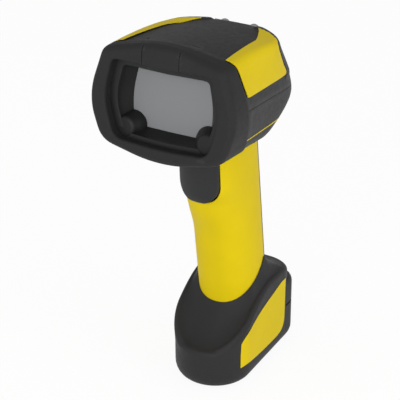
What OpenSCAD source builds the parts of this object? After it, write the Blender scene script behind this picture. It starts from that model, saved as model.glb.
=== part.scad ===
// Cordless pistol-grip code reader, modelled piece by piece.
// Millimetres, +Z up, the scan window faces -Y, origin at the middle of the foot's rest face.

/* [Head] */
// Widest width of the head, at the face
head_w = 79.4; // [74:0.2:86]
// Length of the head along its own axis
head_len = 94; // [90:1:100]
// Height of the head's crown above its axis
crown_h = 33.2; // [31:0.2:36]
// Depth of the head's belly below its axis
belly_h = 27.4; // [26:0.2:30]
// Half width between the two shoulder creases
shoulder_x = 32; // [30:0.2:34]
// How far the head's nose is tipped up, in degrees
head_pitch = 9; // [6:0.5:12]
// Height of the head's axis at the face
head_z = 170; // [168:1:176]
// Where the face stands, in front of the foot's middle
head_y = -70.5; // [-74:0.5:-68]
// Thickness of the head's moulded shells
skin_t = 2.2; // [1.8:0.1:2.6]
// Height of the seam between the two head shells above the axis
seam_t = 3.5; // [1:0.5:6]
// Width of the open seams between moulded pieces
seam_gap = 0.25; // [0.15:0.05:0.4]

/* [Front bumper and window] */
// Thickness of the rubber around the head
rubber_t = 3; // [2.4:0.1:3.6]
// Half width of the bumper's opening
opening_x = 29.6; // [28:0.2:30.6]
// Depth of the window's front face behind the face
window_depth = 12.5; // [11:0.5:14]
// Half width of the visible window
window_x = 20.9; // [19:0.1:21.6]
// Thickness of the scan window
window_t = 2; // [1.5:0.1:2.4]
// Radius of the two rounded bosses at the window's lower corners
boss_r = 6.9; // [6:0.1:7.2]

/* [Handle and trigger] */
// Width of the handle
grip_w = 33; // [31:0.5:35]
// Depth of the handle, front to back
grip_d = 38.4; // [37:0.2:40]
// Backward shift of the handle's axis for each millimetre down
grip_lean = 0.14; // [0.12:0.01:0.16]
// Thickness of the handle's shell
grip_wall = 2.4; // [2:0.1:2.8]
// Width of the trigger
trigger_w = 22; // [20:0.5:22.5]
// Height of the trigger's pivot
pivot_z = 133; // [131.5:0.5:133.5]
// Diameter of the trigger's pin
pin_d = 3; // [2.5:0.1:3.2]
// Running clearance around the pin, on the radius
pin_clear = 0.05; // [0.03:0.01:0.09]

/* [Foot and battery] */
// Width of the foot at its foot print
foot_w = 42.8; // [42:0.2:46]
// Distance from the foot's middle to its toe
toe_y = 38.5; // [37:0.5:41]
// Distance from the foot's middle to the battery's rear face
heel_y = 38.2; // [37.6:0.2:40]
// Thickness of the foot's shell
foot_wall = 2.6; // [2.2:0.1:2.8]
// Diameter of one battery cell
cell_d = 14; // [13:0.1:14.4]
// Length of one battery cell
cell_len = 47; // [42:1:47]
// Diameter of the captive battery screw's shank
lock_d = 4; // [3:0.1:4.4]

/* [Hanger] */
// Diameter of the hanger's eye
eye_d = 6; // [4:0.1:6.4]
// Thickness of the hanger's steel plate
plate_t = 1.5; // [1.2:0.1:2]
// Distance between the two hanger screws
hanger_pitch = 16.2; // [13:0.2:18]

/* [Hidden] */

$fn = 48;
black = [0.2, 0.2, 0.2];
dark = [0.13, 0.13, 0.14];
yellow = [0.9, 0.79, 0.1];
steel = [0.75, 0.75, 0.76];
brass = [0.85, 0.7, 0.35];
green = [0.1, 0.4, 0.2];
grey = [0.5, 0.5, 0.5];
fit_gap = 0.3;
eps = 0.02;

// Shared shape functions

function mix(a, b, k) = a + (b - a) * k;
function clamp01(v) = min(1, max(0, v));
function ease(v) = let (k = clamp01(v)) k * k * (3 - 2 * k);
function round_end(v, p, q) = pow(max(0, 1 - pow(clamp01(v), p)), 1 / q);
function unit(v) = v / norm(v);
function sgn_pow(v, p) = sign(v) * pow(abs(v), p);

// A quadratic curve around the corner c, from the side of a to the side of b, reaching r along each
function corner(a, c, b, r, n) =
    let (ka = min(0.48, r / norm(a - c)), kb = min(0.48, r / norm(b - c)))
    let (p = mix(c, a, ka), q = mix(c, b, kb))
    [for (i = [0:n]) let (k = i / n) (1 - k) * (1 - k) * p + 2 * k * (1 - k) * c + k * k * q];

// A closed ring from its right half, which starts and ends on the middle plane
function whole_ring(half) = concat(half,
    [for (i = [len(half) - 2:-1:1]) [-half[i][0], for (j = [1:len(half[i]) - 1]) half[i][j]]]);

// Moves every point of a flat closed ring inwards by d
function shrink(ring, d) = let (n = len(ring))
    [for (i = [0:n - 1])
        let (v = ring[(i + 1) % n] - ring[(i + n - 1) % n])
        ring[i] + d * unit([v[1], -v[0]])];

// A closed solid through rings that are each mirror images about the middle plane
module loft(rings) {
    n = len(rings[0]);
    m = len(rings);
    h = n / 2;
    sides = [for (k = [0:m - 2], i = [0:n - 1])
        let (a = k * n + i, b = k * n + (i + 1) % n, c = b + n, d = a + n)
        each (i < h ? [[a, c, b], [a, d, c]] : [[a, d, b], [b, d, c]])];
    first = [for (i = [0:h - 1])
        i == 0 ? [0, 1, n - 1]
        : i == h - 1 ? [h - 1, h, h + 1]
        : [i, i + 1, n - i - 1, n - i]];
    e = (m - 1) * n;
    last = [for (i = [0:h - 1])
        i == 0 ? [e + n - 1, e + 1, e]
        : i == h - 1 ? [e + h + 1, e + h, e + h - 1]
        : [e + n - i, e + n - i - 1, e + i + 1, e + i]];
    polyhedron(points = [for (r = rings) each r], faces = concat(sides, first, last), convexity = 8);
}

// A round tube swept along points, closed at both ends
module tube(path, r, sides) {
    n = len(path);
    frames = [for (i = [0:n - 1])
        let (t = unit(path[min(i + 1, n - 1)] - path[max(i - 1, 0)]))
        let (u = unit(cross(t, abs(t[0]) < 0.8 ? [1, 0, 0] : [0, 1, 0])))
        [u, cross(t, u)]];
    points = [for (i = [0:n - 1], j = [0:sides - 1])
        path[i] + r * (cos(360 * j / sides) * frames[i][0] + sin(360 * j / sides) * frames[i][1])];
    walls = [for (i = [0:n - 2], j = [0:sides - 1])
        let (a = i * sides + j, b = i * sides + (j + 1) % sides)
        each [[a, a + sides, b + sides], [a, b + sides, b]]];
    polyhedron(points = points, faces = concat(walls,
        [[for (j = [0:sides - 1]) j]], [[for (j = [sides - 1:-1:0]) (n - 1) * sides + j]]), convexity = 8);
}

// A moulded body: free-form shapes joined and cut as one surface
module moulded() {
    resize([0, 0, 0]) children();
}

module both_sides() {
    children();
    mirror([1, 0, 0]) children();
}

// Screw with a flat-bottomed head, its shank along -Z and the seat of its head at z = 0
module screw(d, length, head_d, head_h) {
    difference() {
        union() {
            translate([0, 0, -length]) cylinder(d = d, h = length + eps);
            cylinder(d1 = head_d, d2 = head_d * 0.86, h = head_h);
        }
        translate([0, 0, head_h * 0.45]) cylinder(d = head_d * 0.42, h = head_h, $fn = 6);
    }
}

// The head's outer form: x across, y along the head's axis from the face, z above that axis

head_taper = 0.127;
side_round = 32;
shoulder_round = 47;
rear_slant = 19.5;
face_lean = 0.0787;

function side_k(s) = max(0.06, round_end((s - head_len + side_round) / side_round, 4, 3.2));
function shoulder_k(s) = max(0.06, round_end((s - head_len + shoulder_round) / shoulder_round, 2.2, 2.2));
function rise_k(s) = ease((s - head_len + 39) / 38);
function end_k(s) = pow(clamp01((s - head_len + 6.5) / 6.5), 2);
function peak_k(s) = ease((s - head_len + 42) / 34);
function crown(s) = crown_h - 0.5 * peak_k(s) - 4 * end_k(s);
function shoulder(s) = [shoulder_x * shoulder_k(s),
    25 + 4.6 * (1 - pow(1 - clamp01(s / 50), 2)) + (crown_h - 33.2)
    + 1.8 * peak_k(s) - 4 * end_k(s)];
function waist(s) = [(head_w / 2 + 0.6 - head_taper * s + 1.2 * ease((s - 45) / 35)) * side_k(s), mix(0.5, 1.5, s / head_len) - 4 * end_k(s)];
function jowl(s) = [(head_w / 2 - 7.2 - 0.055 * s) * side_k(s), mix(-20.3, -7.5, rise_k(s))];
function belly(s) = -mix(belly_h, belly_h * 0.5, rise_k(s));

function head_half(s) =
    let (top = [0, crown(s)], a = shoulder(s), b = waist(s), c = jowl(s), low = [0, belly(s)])
    let (r = side_k(s))
    let (arch = corner([-a[0], a[1]], top, a, 26 * r, 8), keel = corner(c, low, [-c[0], c[1]], 22 * r, 8))
    concat([for (i = [4:8]) arch[i]], corner(top, a, b, 3.2 * r, 3), corner(a, b, c, 13 * r, 4),
        corner(b, c, low, 6.5 * r, 4), [for (i = [0:4]) keel[i]]);

function face_shear(s, t) = -face_lean * t * (1 - clamp01(s / 25));
function rear_shear(s, t) = -ease((s - head_len + 52) / 50) *
    (t > 0 ? rear_slant * pow(t / 31, 1.5) : 5 * pow(-t / 20, 1.5));
function head_ring(s, inset) =
    [for (p = shrink(whole_ring(head_half(s)), inset)) [p[0], s + face_shear(s, p[1]) + rear_shear(s, p[1]), p[1]]];

function rear_stations(to, inset) = [for (k = [14, 25, 36, 45, 54, 62, 69, 75, 80, 84, 87.5, 90, 91.5])
    if (k * head_len / 92 < to - inset) k * head_len / 92];

// The head's solid, inset by a share of its skin; proud_k is 1 for the outermost surface
module head_form(inset, from, to) {
    loft(concat([head_ring(from, inset)],
        [for (s = rear_stations(to, inset)) if (s > from + 1) head_ring(s, inset)],
        [head_ring(to - inset, inset)]));
}

// How far the black shells lie under the yellow panels and the bumper
shell_inset = 0.8;

module in_head() {
    translate([0, head_y, head_z]) rotate([-head_pitch, 0, 0]) children();
}

// World position of a point of the head's frame
function head_point(p) = [p[0], head_y + p[1] * cos(head_pitch) + p[2] * sin(head_pitch),
    head_z - p[1] * sin(head_pitch) + p[2] * cos(head_pitch)];

// The bumper's rear edge is a slanted plane: this is everything in front of it
bumper_s = 20.2;
bumper_slope = 0.44;
big = 160;

module bumper_side(shift) {
    translate([0, bumper_s + shift, 0]) rotate([atan(bumper_slope), 0, 0])
        translate([-big / 2, -big, -big / 2]) cube([big, big, big]);
}

// Outline of the bumper's opening and of the visible window, in the plane of the face
function frame_half(a, b, c, top, low, r) =
    let (keel = corner(c, [0, low], [-c[0], c[1]], r[3], 6))
    concat([[0, top]], corner([0, top], a, b, r[0], 3), corner(a, b, c, r[1], 4),
        corner(b, c, [0, low], r[2], 3), [for (i = [0:3]) keel[i]]);

function opening_half() = frame_half([opening_x - 3.6, 21], [opening_x + 1.2, 1.5], [opening_x - 4.8, -17.2],
    20.3, -18.8, [3, 11, 5, 14]);

function window_half(grow) = frame_half([window_x - 2.6 + grow, 17.4 + grow], [window_x + 0.6 + grow, 2.5],
    [window_x - 0.6 + grow, -12.2 - grow], 17 + grow, -12.5 - grow, [3, 8, 2, 6]);

// Places a flat outline in the plane of the face, depth behind it
function face_ring(half, depth) =
    [for (p = whole_ring(half)) [p[0], depth - face_lean * p[1], p[1]]];

module face_block(half_front, front, half_back, back) {
    loft([face_ring(half_front, front), face_ring(half_back, back)]);
}

// Pieces of the head

ledge_depth = 5;
bezel_back = window_depth;

module bumper_blank() {
    loft([head_ring(0, 3.2), head_ring(0.6, 1.4), head_ring(1.9, 0.4), head_ring(4, 0),
        for (s = [10, 18, 26, 34]) head_ring(s, 0)]);
}

module front_bumper() {
    notch_w = 5;
    notch_x = 12.4;
    insert_x = 9.7;
    color(black) in_head() moulded() difference() {
        intersection() {
            bumper_blank();
            bumper_side(0);
        }
        loft([for (s = [ledge_depth, 14, 24, 36]) head_ring(s, rubber_t)]);
        face_block(opening_half(), -6, opening_half(), ledge_depth + 1);
        both_sides() {
            translate([notch_x - notch_w / 2, bumper_s - bumper_slope * 31 - 0.8, 29.8]) cube([notch_w, 3, 3]);
            translate([insert_x, -6, 20]) cube([0.25, 5.6, 12]);
            translate([insert_x, -3, -26]) cube([0.25, 4.3, 9]);
        }
    }
}

module window_bezel() {
    color(dark) in_head() moulded() difference() {
        union() {
            difference() {
                loft([for (s = [ledge_depth + 0.15, 11, 17]) head_ring(s, rubber_t + 0.25)]);
                loft([face_ring([for (p = opening_half()) [p[0] * 0.905, p[1] * 0.87]], 3),
                    face_ring([for (p = opening_half()) [p[0] * 0.86, p[1] * 0.85]], ledge_depth + 1.9),
                    face_ring(window_half(0), bezel_back + 0.05)]);
            }
            both_sides() intersection() {
                translate([window_x - 0.7, ledge_depth + 1.7, -12]) rotate([-90, 0, 0])
                    cylinder(r = boss_r, h = bezel_back - ledge_depth + 1, $fn = 32);
                loft([for (s = [ledge_depth + 0.15, 11, 17]) head_ring(s, rubber_t + 0.25)]);
            }
        }
        face_block(window_half(2.2), bezel_back, window_half(2.2), bezel_back + 12);
    }
}

module scan_window() {
    color([0.5, 0.5, 0.5]) in_head()
        face_block(window_half(2), bezel_back, window_half(2), bezel_back + window_t);
}

module window_seal() {
    seal_t = 1.2;
    from = bezel_back + window_t;
    color(dark) in_head() difference() {
        face_block(window_half(2), from, window_half(2), from + seal_t);
        face_block(window_half(-0.6), from - 1, window_half(-0.6), from + seal_t + 1);
    }
}

// The black shell all over, from which the cover and the lower shell are cut
shell_front = 7;

module head_skin() {
    difference() {
        head_form(shell_inset, shell_front, head_len);
        head_form(shell_inset + skin_t, shell_front - 0.01, head_len);
        bumper_side(seam_gap);
    }
}

module collar(upper) {
    // Front collar of a shell under the rubber, joined to the shell behind the rubber's edge
    intersection() {
        difference() {
            union() {
                intersection() {
                    loft([for (s = [ledge_depth + 12.4, 24, 34]) head_ring(s, rubber_t + 0.1)]);
                    bumper_side(1);
                }
                difference() {
                    loft([for (s = [ledge_depth + 12.6, 24, 36]) head_ring(s, shell_inset + skin_t - 0.6)]);
                    bumper_side(seam_gap + 0.05);
                }
            }
            loft([for (s = [ledge_depth + 12, 24, 37]) head_ring(s, rubber_t + 1.6)]);
        }
        translate([-big / 2, 0, upper ? seam_t + seam_gap / 2 : seam_t - seam_gap / 2 - big])
            cube([big, big, big]);
        bumper_side(2.5);
    }
}

hanger_s = head_len - 22.9;
hanger_t = 30;
hanger_tilt = 55;

module at_hanger() {
    translate([0, hanger_s, hanger_t]) rotate([-hanger_tilt, 0, 0]) children();
}

cover_screw_s = [41, 71];
cover_screw_seat = -11;
function cover_screw_x(s) = waist(s)[0] - shell_inset - skin_t - 5.2;

module cover_posts(d, from, to) {
    for (s = cover_screw_s) both_sides()
        translate([cover_screw_x(s), s, from]) cylinder(d = d, h = to - from, $fn = 24);
}

hanger_seat_w = 26;
hanger_seat_len = 9.4;
hanger_screw_y = 3.4;
eye_y = 13;
tab_bend = 18;
tab_y = 7.5;
eye_pocket_y = 21;

module head_top_cover() {
    color(black) in_head() moulded() difference() {
        union() {
            intersection() {
                head_skin();
                translate([-big / 2, 0, seam_t + seam_gap / 2]) cube([big, big, big]);
            }
            collar(true);
            intersection() {
                cover_posts(6.4, seam_t + seam_gap / 2, 26);
                head_form(shell_inset + 0.6, 20, head_len);
            }
            // Thick wall under the hanger
            intersection() {
                at_hanger() {
                    translate([-hanger_seat_w / 2 - 1, -5, -6.5]) cube([hanger_seat_w + 2, 16.5, 16]);
                    translate([-10, 5, -2.6]) cube([20, eye_pocket_y - 2.6, 16]);
                }
                head_form(shell_inset + 0.6, 20, head_len);
            }
        }
        cover_posts(2.3, 0, 14);
        // Flat seat of the hanger, with the cover's top running down to it
        at_hanger() {
            translate([-hanger_seat_w / 2, -8, 0]) cube([hanger_seat_w, 9 + hanger_seat_len, 20]);
            translate([-8, 0, 0]) cube([16, eye_pocket_y - 8, 20]);
            translate([0, eye_pocket_y - 8, 0]) cylinder(r = 8, h = 20, $fn = 32);
            for (x = [-0.5, 0.5]) translate([x * hanger_pitch, hanger_screw_y, -5.5])
                cylinder(d = 2.6, h = 7, $fn = 24);
        }
        status_seat(0.15);
    }
}

status_s = head_len - 5.5;
status_t = 7.2;

module status_seat(gap) {
    translate([0, status_s, status_t]) rotate([-58, 0, 0]) translate([0, 0, -8])
        cylinder(d = 5 + 2 * gap, h = 16, $fn = 32);
}

module status_lens() {
    color([0.5, 0.8, 0.5]) in_head() moulded() intersection() {
        status_seat(0);
        difference() {
            head_form(shell_inset - 0.3, 60, head_len);
            head_form(shell_inset + skin_t + 0.8, 59, head_len);
        }
    }
}

neck_pad_t = -18.6;
neck_s = 60;
neck_screw_at = [[-9.5, neck_s], [9.5, neck_s]];
lead_hole_s = 58;

module head_lower_shell() {
    color(black) in_head() moulded() difference() {
        union() {
            intersection() {
                head_skin();
                translate([-big / 2, 0, seam_t - seam_gap / 2 - big]) cube([big, big, big]);
            }
            collar(false);
            intersection() {
                cover_posts(6.4, -30, seam_t - seam_gap / 2);
                head_form(shell_inset + 0.6, 20, head_len);
            }
            // Thick floor over the handle
            intersection() {
                head_form(shell_inset + 0.6, 22, head_len);
                translate([-16, 35, neck_pad_t - 12]) cube([32, 30, 12]);
            }
        }
        cover_posts(2.8, -30, 10);
        cover_posts(5.6, -40, cover_screw_seat);
        accent_cut(0.15);
        for (p = neck_screw_at) translate([p[0], p[1], -40]) cylinder(d = 2.4, h = 30, $fn = 24);
        translate([0, lead_hole_s, -40]) cylinder(d = 9, h = 30, $fn = 24);
        for (p = frame_screw_at) translate([p[0], p[1], neck_pad_t - 3]) cylinder(d = 1.8, h = 10, $fn = 16);
    }
}

// Yellow side panels: a skin over the cover, cut to the panel's outline

panel_low_t = 11;
panel_tip_s = 8;
panel_end = head_len - 2.4;
panel_heel_s = panel_end - 18;

module panel_outline_side() {
    // Seen from the side, in the head's frame
    rotate([90, 0, 90]) linear_extrude(big)
        polygon([[panel_tip_s, 33], [panel_tip_s + 0.3, 30], [panel_tip_s + 4.4, 22], [panel_tip_s + 7.4, 15],
            [bumper_s - 2.2, panel_low_t - 0.6], [bumper_s - 0.6, panel_low_t - 0.8],
            [panel_end - 23, panel_low_t + 0.6], [panel_end - 21.2, panel_low_t + 1.4],
            [panel_end - 21.8, 14], [panel_end - 26.5, 22],
            [panel_end - 29.4, 27], [panel_end - 27.4, 30], [panel_heel_s - 1.6, 33], [panel_heel_s - 1.6, 42], [panel_tip_s, 42]]);
}

module panel_outline_top(grow) {
    // Seen from above: everything outside the black cover's edge
    translate([0, 0, 12]) linear_extrude(40)
        polygon([[27.2 - grow, 0], [27 - grow, panel_tip_s], [23.9 - grow, panel_end / 2 - 1],
            [22.2 - grow, panel_end / 2 + 4], [17.8 - grow, panel_end - 31.5], [13.7 - grow, panel_end - 24.5],
            [12 - grow, panel_heel_s - 1], [12 - grow, head_len], [60, head_len], [60, 0]]);
}

module head_panel() {
    in_head() moulded() difference() {
        intersection() {
            difference() {
                head_form(0, 6, head_len);
                head_form(shell_inset - 0.02, 5.9, head_len);
            }
            panel_outline_side();
            union() {
                panel_outline_top(0);
                translate([28, 0, -20]) cube([40, big, 48]);
            }
        }
        bumper_side(seam_gap);
    }
}

module right_head_panel() {
    color(yellow) head_panel();
}

module left_head_panel() {
    color(yellow) mirror([1, 0, 0]) head_panel();
}

accent_t = -13;

module accent_bar(gap) {
    // A thin bar along the lower side of the head
    rotate([90, 0, 90]) linear_extrude(big)
        polygon([[26.8 - gap, accent_t - 0.5 - gap], [28.2 - gap, accent_t + 0.4 + gap],
            [head_len - 27 + gap, accent_t + 1.9 + gap], [head_len - 25.5 + gap, accent_t + 1.1 - gap]]);
}

module accent_cut(gap) {
    both_sides() intersection() {
        accent_bar(gap);
        difference() {
            head_form(shell_inset - 2, 10, head_len);
            head_form(shell_inset + 1.2 + gap, 10, head_len);
        }
    }
}

module accent_strip() {
    in_head() moulded() intersection() {
        accent_bar(0);
        difference() {
            head_form(shell_inset - 0.1, 10, head_len);
            head_form(shell_inset + 1.2, 9.9, head_len);
        }
    }
}

module right_accent_strip() {
    color(yellow) accent_strip();
}

module left_accent_strip() {
    color(yellow) mirror([1, 0, 0]) accent_strip();
}

module cover_screws() {
    color(steel) in_head() for (s = cover_screw_s) both_sides()
        translate([cover_screw_x(s), s, cover_screw_seat]) mirror([0, 0, 1]) screw(2.2, 22, 4.6, 1.8);
}

module hanger_bracket() {
    color(steel) in_head() at_hanger() translate([0, 0, 0.02]) difference() {
        union() {
            translate([-hanger_seat_w / 2 + fit_gap, 0.4, 0])
                cube([hanger_seat_w - 2 * fit_gap, hanger_seat_len - 0.4, plate_t]);
            // Tab, bent out so that a strap passes behind it
            translate([0, tab_y, 0]) rotate([tab_bend, 0, 0]) {
                translate([-6, 0, 0]) cube([12, eye_y - tab_y, plate_t]);
                translate([0, eye_y - tab_y, 0]) cylinder(r = 6, h = plate_t);
            }
        }
        translate([0, tab_y, 0]) rotate([tab_bend, 0, 0]) translate([0, eye_y - tab_y, -1])
            cylinder(d = eye_d, h = plate_t + 2);
        for (x = [-0.5, 0.5]) translate([x * hanger_pitch, hanger_screw_y, -1]) cylinder(d = 3.2, h = plate_t + 2);
    }
}

module hanger_screws() {
    color(steel) in_head() at_hanger() for (x = [-0.5, 0.5])
        translate([x * hanger_pitch, hanger_screw_y, plate_t + 0.04]) screw(2.5, 5.5, 5.2, 2);
}

// Pieces inside the head

frame_floor = -16.8;
frame_screw_at = [[-12.8, 40], [12.8, 40], [-12.8, 55.5], [12.8, 55.5]];
board_post_s = [44.5, 51];
board_t = 15.5;
board_front = 26;
board_tail = head_len - 24;

module engine_frame() {
    color(grey) in_head() difference() {
        union() {
            translate([-16, 22, frame_floor]) cube([32, 37, 2]);
            for (p = frame_screw_at) translate([p[0], p[1], neck_pad_t + 0.03]) cylinder(d = 5, h = 3);
            // Cheeks beside the imager, and the board's posts
            both_sides() {
                translate([13, 22, frame_floor]) cube([1.8, 15, 25]);
                for (s = board_post_s) translate([13.2, s, frame_floor]) cylinder(d = 4.6, h = board_t - frame_floor - 0.03);
            }
            translate([-13.1, 24, frame_floor]) cube([26.2, 13, 11.8]);
        }
        for (p = frame_screw_at) translate([p[0], p[1], -30]) cylinder(d = 2.2, h = 30);
        for (p = neck_screw_at) translate([p[0], p[1], frame_floor - 1]) cylinder(d = 5, h = 6);
        translate([0, lead_hole_s, frame_floor - 1]) cylinder(d = 11, h = 4);
        both_sides() for (s = board_post_s) translate([13.2, s, board_t - 6]) cylinder(d = 1.7, h = 8);
    }
}

module frame_screws() {
    color(steel) in_head() {
        for (p = frame_screw_at) translate([p[0], p[1], frame_floor + 2.02]) screw(1.7, 4.6, 3.6, 1.3);
        both_sides() for (s = board_post_s) translate([13.2, s, board_t + 1.64]) screw(1.6, 5, 3.4, 1.2);
    }
}

imager_t = 3;

module imager_module() {
    color(dark) in_head() difference() {
        union() {
            translate([-12.5, 24, frame_floor + 11.85]) cube([25, 13, 15.5]);
            translate([-3, 24.01, imager_t]) rotate([90, 0, 0]) cylinder(d = 10, h = 3);
            translate([7.5, 24.01, imager_t]) rotate([90, 0, 0]) cylinder(d = 5, h = 2);
        }
        translate([-3, 26, imager_t]) rotate([90, 0, 0]) cylinder(d = 8, h = 8);
        translate([7.5, 25, imager_t]) rotate([90, 0, 0]) cylinder(d = 4, h = 8);
    }
}

module imager_lens() {
    color([0.3, 0.35, 0.5]) in_head() translate([-3, 25.9, imager_t]) rotate([90, 0, 0]) {
        cylinder(d = 7.9, h = 2.4);
        translate([0, 0, 2.4]) cylinder(d1 = 7.9, d2 = 4.6, h = 1);
    }
}

module aiming_laser() {
    color([0.5, 0.1, 0.1]) in_head() translate([7.5, 24.9, imager_t]) rotate([90, 0, 0]) cylinder(d = 3.9, h = 2.2);
}

module illumination_board() {
    // Board in front of the imager, with the two feet that hold it to the frame's cheeks
    color(green) in_head() difference() {
        union() {
            translate([-18, 18.8, imager_t - 8]) cube([36, 1.4, 15]);
            both_sides() translate([13.1, 20.1, imager_t - 6]) cube([1.6, 1.88, 8]);
        }
        translate([-3, 21, imager_t]) rotate([90, 0, 0]) cylinder(d = 10.6, h = 4);
        translate([7.5, 21, imager_t]) rotate([90, 0, 0]) cylinder(d = 6.4, h = 4);
    }
}

module illumination_leds() {
    color([0.95, 0.95, 0.85]) in_head() both_sides() for (t = [-4, 4])
        translate([15.4, 18.78, imager_t + t]) rotate([90, 0, 0]) {
            translate([-1.6, -1.6, 0]) cube([3.2, 3.2, 0.6]);
            translate([0, 0, 0.58]) cylinder(d1 = 3, d2 = 1.8, h = 0.7);
        }
}

module main_board() {
    color(green) in_head() difference() {
        translate([-19, board_front, board_t]) cube([38, board_tail - board_front, 1.6]);
        both_sides() for (s = board_post_s) translate([13.2, s, board_t - 1]) cylinder(d = 2, h = 4);
    }
}

module board_chips() {
    top = board_t + 1.62;
    color(dark) in_head() {
        translate([-8, 32, top]) cube([12, 12, 1.2]);
        translate([7, 33, top]) cube([9, 6, 1]);
        translate([-17, 30, top]) cube([6, 9, 1]);
        translate([-18.4, board_tail - 15, top]) cube([3.2, 10, 1.2]);
        for (i = [0:4]) translate([6.5 + i * 2.2, 40.3, top]) cube([1.2, 2, 0.6]);
    }
}

module radio_module() {
    color(steel) in_head() {
        translate([-9, 48, board_t + 1.62]) cube([13, 9, 2.2]);
        translate([-7, 56.9, board_t + 1.62]) cube([9, 4, 0.8]);
    }
}

module beeper() {
    color(dark) in_head() difference() {
        translate([9, board_tail - 5, board_t + 1.62]) cylinder(d = 7, h = 3);
        translate([9, board_tail - 5, board_t + 2.6]) cylinder(d = 1.6, h = 6);
    }
}

module flex_cable() {
    // A flat ribbon from the imager's back up to the board's underside
    color([0.75, 0.5, 0.15]) in_head() translate([-5, 0, 0]) rotate([90, 0, 90]) linear_extrude(10)
        polygon([[37.03, 4], [39, 4], [40.4, 6], [40.4, 12], [38.8, board_t - 1], [36, board_t - 0.03],
            [31, board_t - 0.03], [31, board_t - 0.33], [36, board_t - 0.33], [38.6, board_t - 1.3],
            [40.1, 12], [40.1, 6.1], [38.9, 4.3], [37.03, 4.3]]);
}

// The handle's outer form: rings at heights above the floor

function grip_y(z) = 8.1 - grip_lean * z;
function grip_front(z) = grip_d / 2 + 5.5 * ease((z - 80) / 24) + 3.6 * ease((z - 104) / 12) - 0.08 * max(0, z - 112);
function grip_power(z) = mix(0.9, 0.7, ease((z - 98) / 18));

function grip_point(z, a, inset) = [
    (grip_w / 2 - inset) * sgn_pow(sin(a), cos(a) > 0 ? grip_power(z) : 0.9),
    grip_y(z) - (cos(a) > 0 ? grip_front(z) - inset : grip_d / 2 - inset)
        * sgn_pow(cos(a), cos(a) > 0 ? grip_power(z) : 0.9),
    z];
function grip_ring(z, inset) = whole_ring([for (a = [0:9:180]) grip_point(z, a, inset)]);

foot_roof = 39;
grip_low = foot_roof + 0.02;
grip_high = 152;

module grip_form(inset, from, to) {
    loft([for (z = [from, for (k = [52, 66, 80, 87, 93, 99, 104, 108, 112, 118, 134]) if (k > from + 2 && k < to - 2) k, to])
        grip_ring(z, inset)]);
}

module under_head(gap) {
    // Takes away from the handle's pieces what the head's belly fills
    difference() {
        children();
        in_head() head_form(shell_inset - gap, 24, head_len);
    }
}

strap_x = 13.6;
strap_front = 8.1 + grip_d / 2 - 10;
web_y = grip_d / 2 - 10.2;
strap_low = 62;
rim_fall = 0.95;

module strap_zone(grow) {
    // The back of the handle, where the rear grip lies, down to the rim of the foot
    rotate([90, 0, 90]) translate([0, 0, -strap_x - grow]) linear_extrude(2 * (strap_x + grow))
        polygon([[strap_front - grip_lean * 62.4 - grow, 62.4 - grow], [strap_front - grip_lean * 180 - grow, 180],
            [48, 180], [48, strap_low - rim_fall * 39 - grow]]);
}

pivot_y = -23.5;
trigger_low = 107.5;
slot_gap = 0.4;
cheek_x = trigger_w / 2 + slot_gap;

module trigger_slot() {
    // Room for the trigger through the handle's front
    translate([0, -18.5, trigger_low + cheek_x - 1.3]) rotate([90, 0, 0]) linear_extrude(60) {
        translate([-cheek_x, 0]) square([2 * cheek_x, 60]);
        circle(r = cheek_x, $fn = 40);
    }
}

// Screw boss with a rib out to the handle's wall
module boss(x, h) {
    cylinder(d = 5.4, h = h, $fn = 24);
    translate([x > 0 ? 0 : -8, -1.3, 0]) cube([8, 2.6, h]);
}

module handle_shell() {
    color(yellow) difference() {
        moulded() difference() {
            under_head(0.04) {
                difference() {
                    grip_form(0, grip_low, grip_high);
                    grip_form(grip_wall, grip_low - 0.01, grip_high + 0.01);
                }
                // Solid cheeks beside the trigger
                intersection() {
                    grip_form(0.6, 90, grip_high);
                    both_sides() translate([cheek_x - 1, pivot_y - 13, trigger_low + 8]) cube([7, 17.1, 24]);
                }
                // Bosses for the neck and foot screws, and the webs that the rear grip is screwed to
                intersection() {
                    grip_form(0.6, grip_low, grip_high);
                    union() {
                        in_head() for (p = neck_screw_at) translate([p[0], p[1], -31]) boss(p[0], 20);
                        for (p = foot_screw_at) translate([p[0], p[1], grip_low]) boss(p[0], 12);
                        for (z = grip_screw_z) translate([-17, grip_y(z) + web_y, z - 4]) cube([34, 3, 8]);
                    }
                }
            }
            strap_zone(0.2);
            trigger_slot();
            in_head() for (p = neck_screw_at) translate([p[0], p[1], -33]) cylinder(d = 2.1, h = 30, $fn = 16);
            for (p = foot_screw_at) translate([p[0], p[1], grip_low - 1]) cylinder(d = 2.2, h = 10, $fn = 16);
            for (z = grip_screw_z) grip_screw_line(z) cylinder(d = 2.2, h = 24, center = true, $fn = 16);
        }
        translate([-14, pivot_y, pivot_z]) rotate([0, 90, 0]) cylinder(d = pin_d, h = 28);
    }
}

module neck_screws() {
    color(steel) in_head() for (p = neck_screw_at)
        translate([p[0], p[1], neck_pad_t + 0.02]) screw(1.9, 10.5, 4, 1.3);
}

grip_screw_z = [76, 122];
grip_screw_seat = 2.2;

module grip_screw_line(z) {
    // The line of a grip screw, its head to the rear at -Z
    translate([0, grip_y(z) + grip_d / 2, z]) rotate([90, 0, 0]) children();
}

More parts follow.
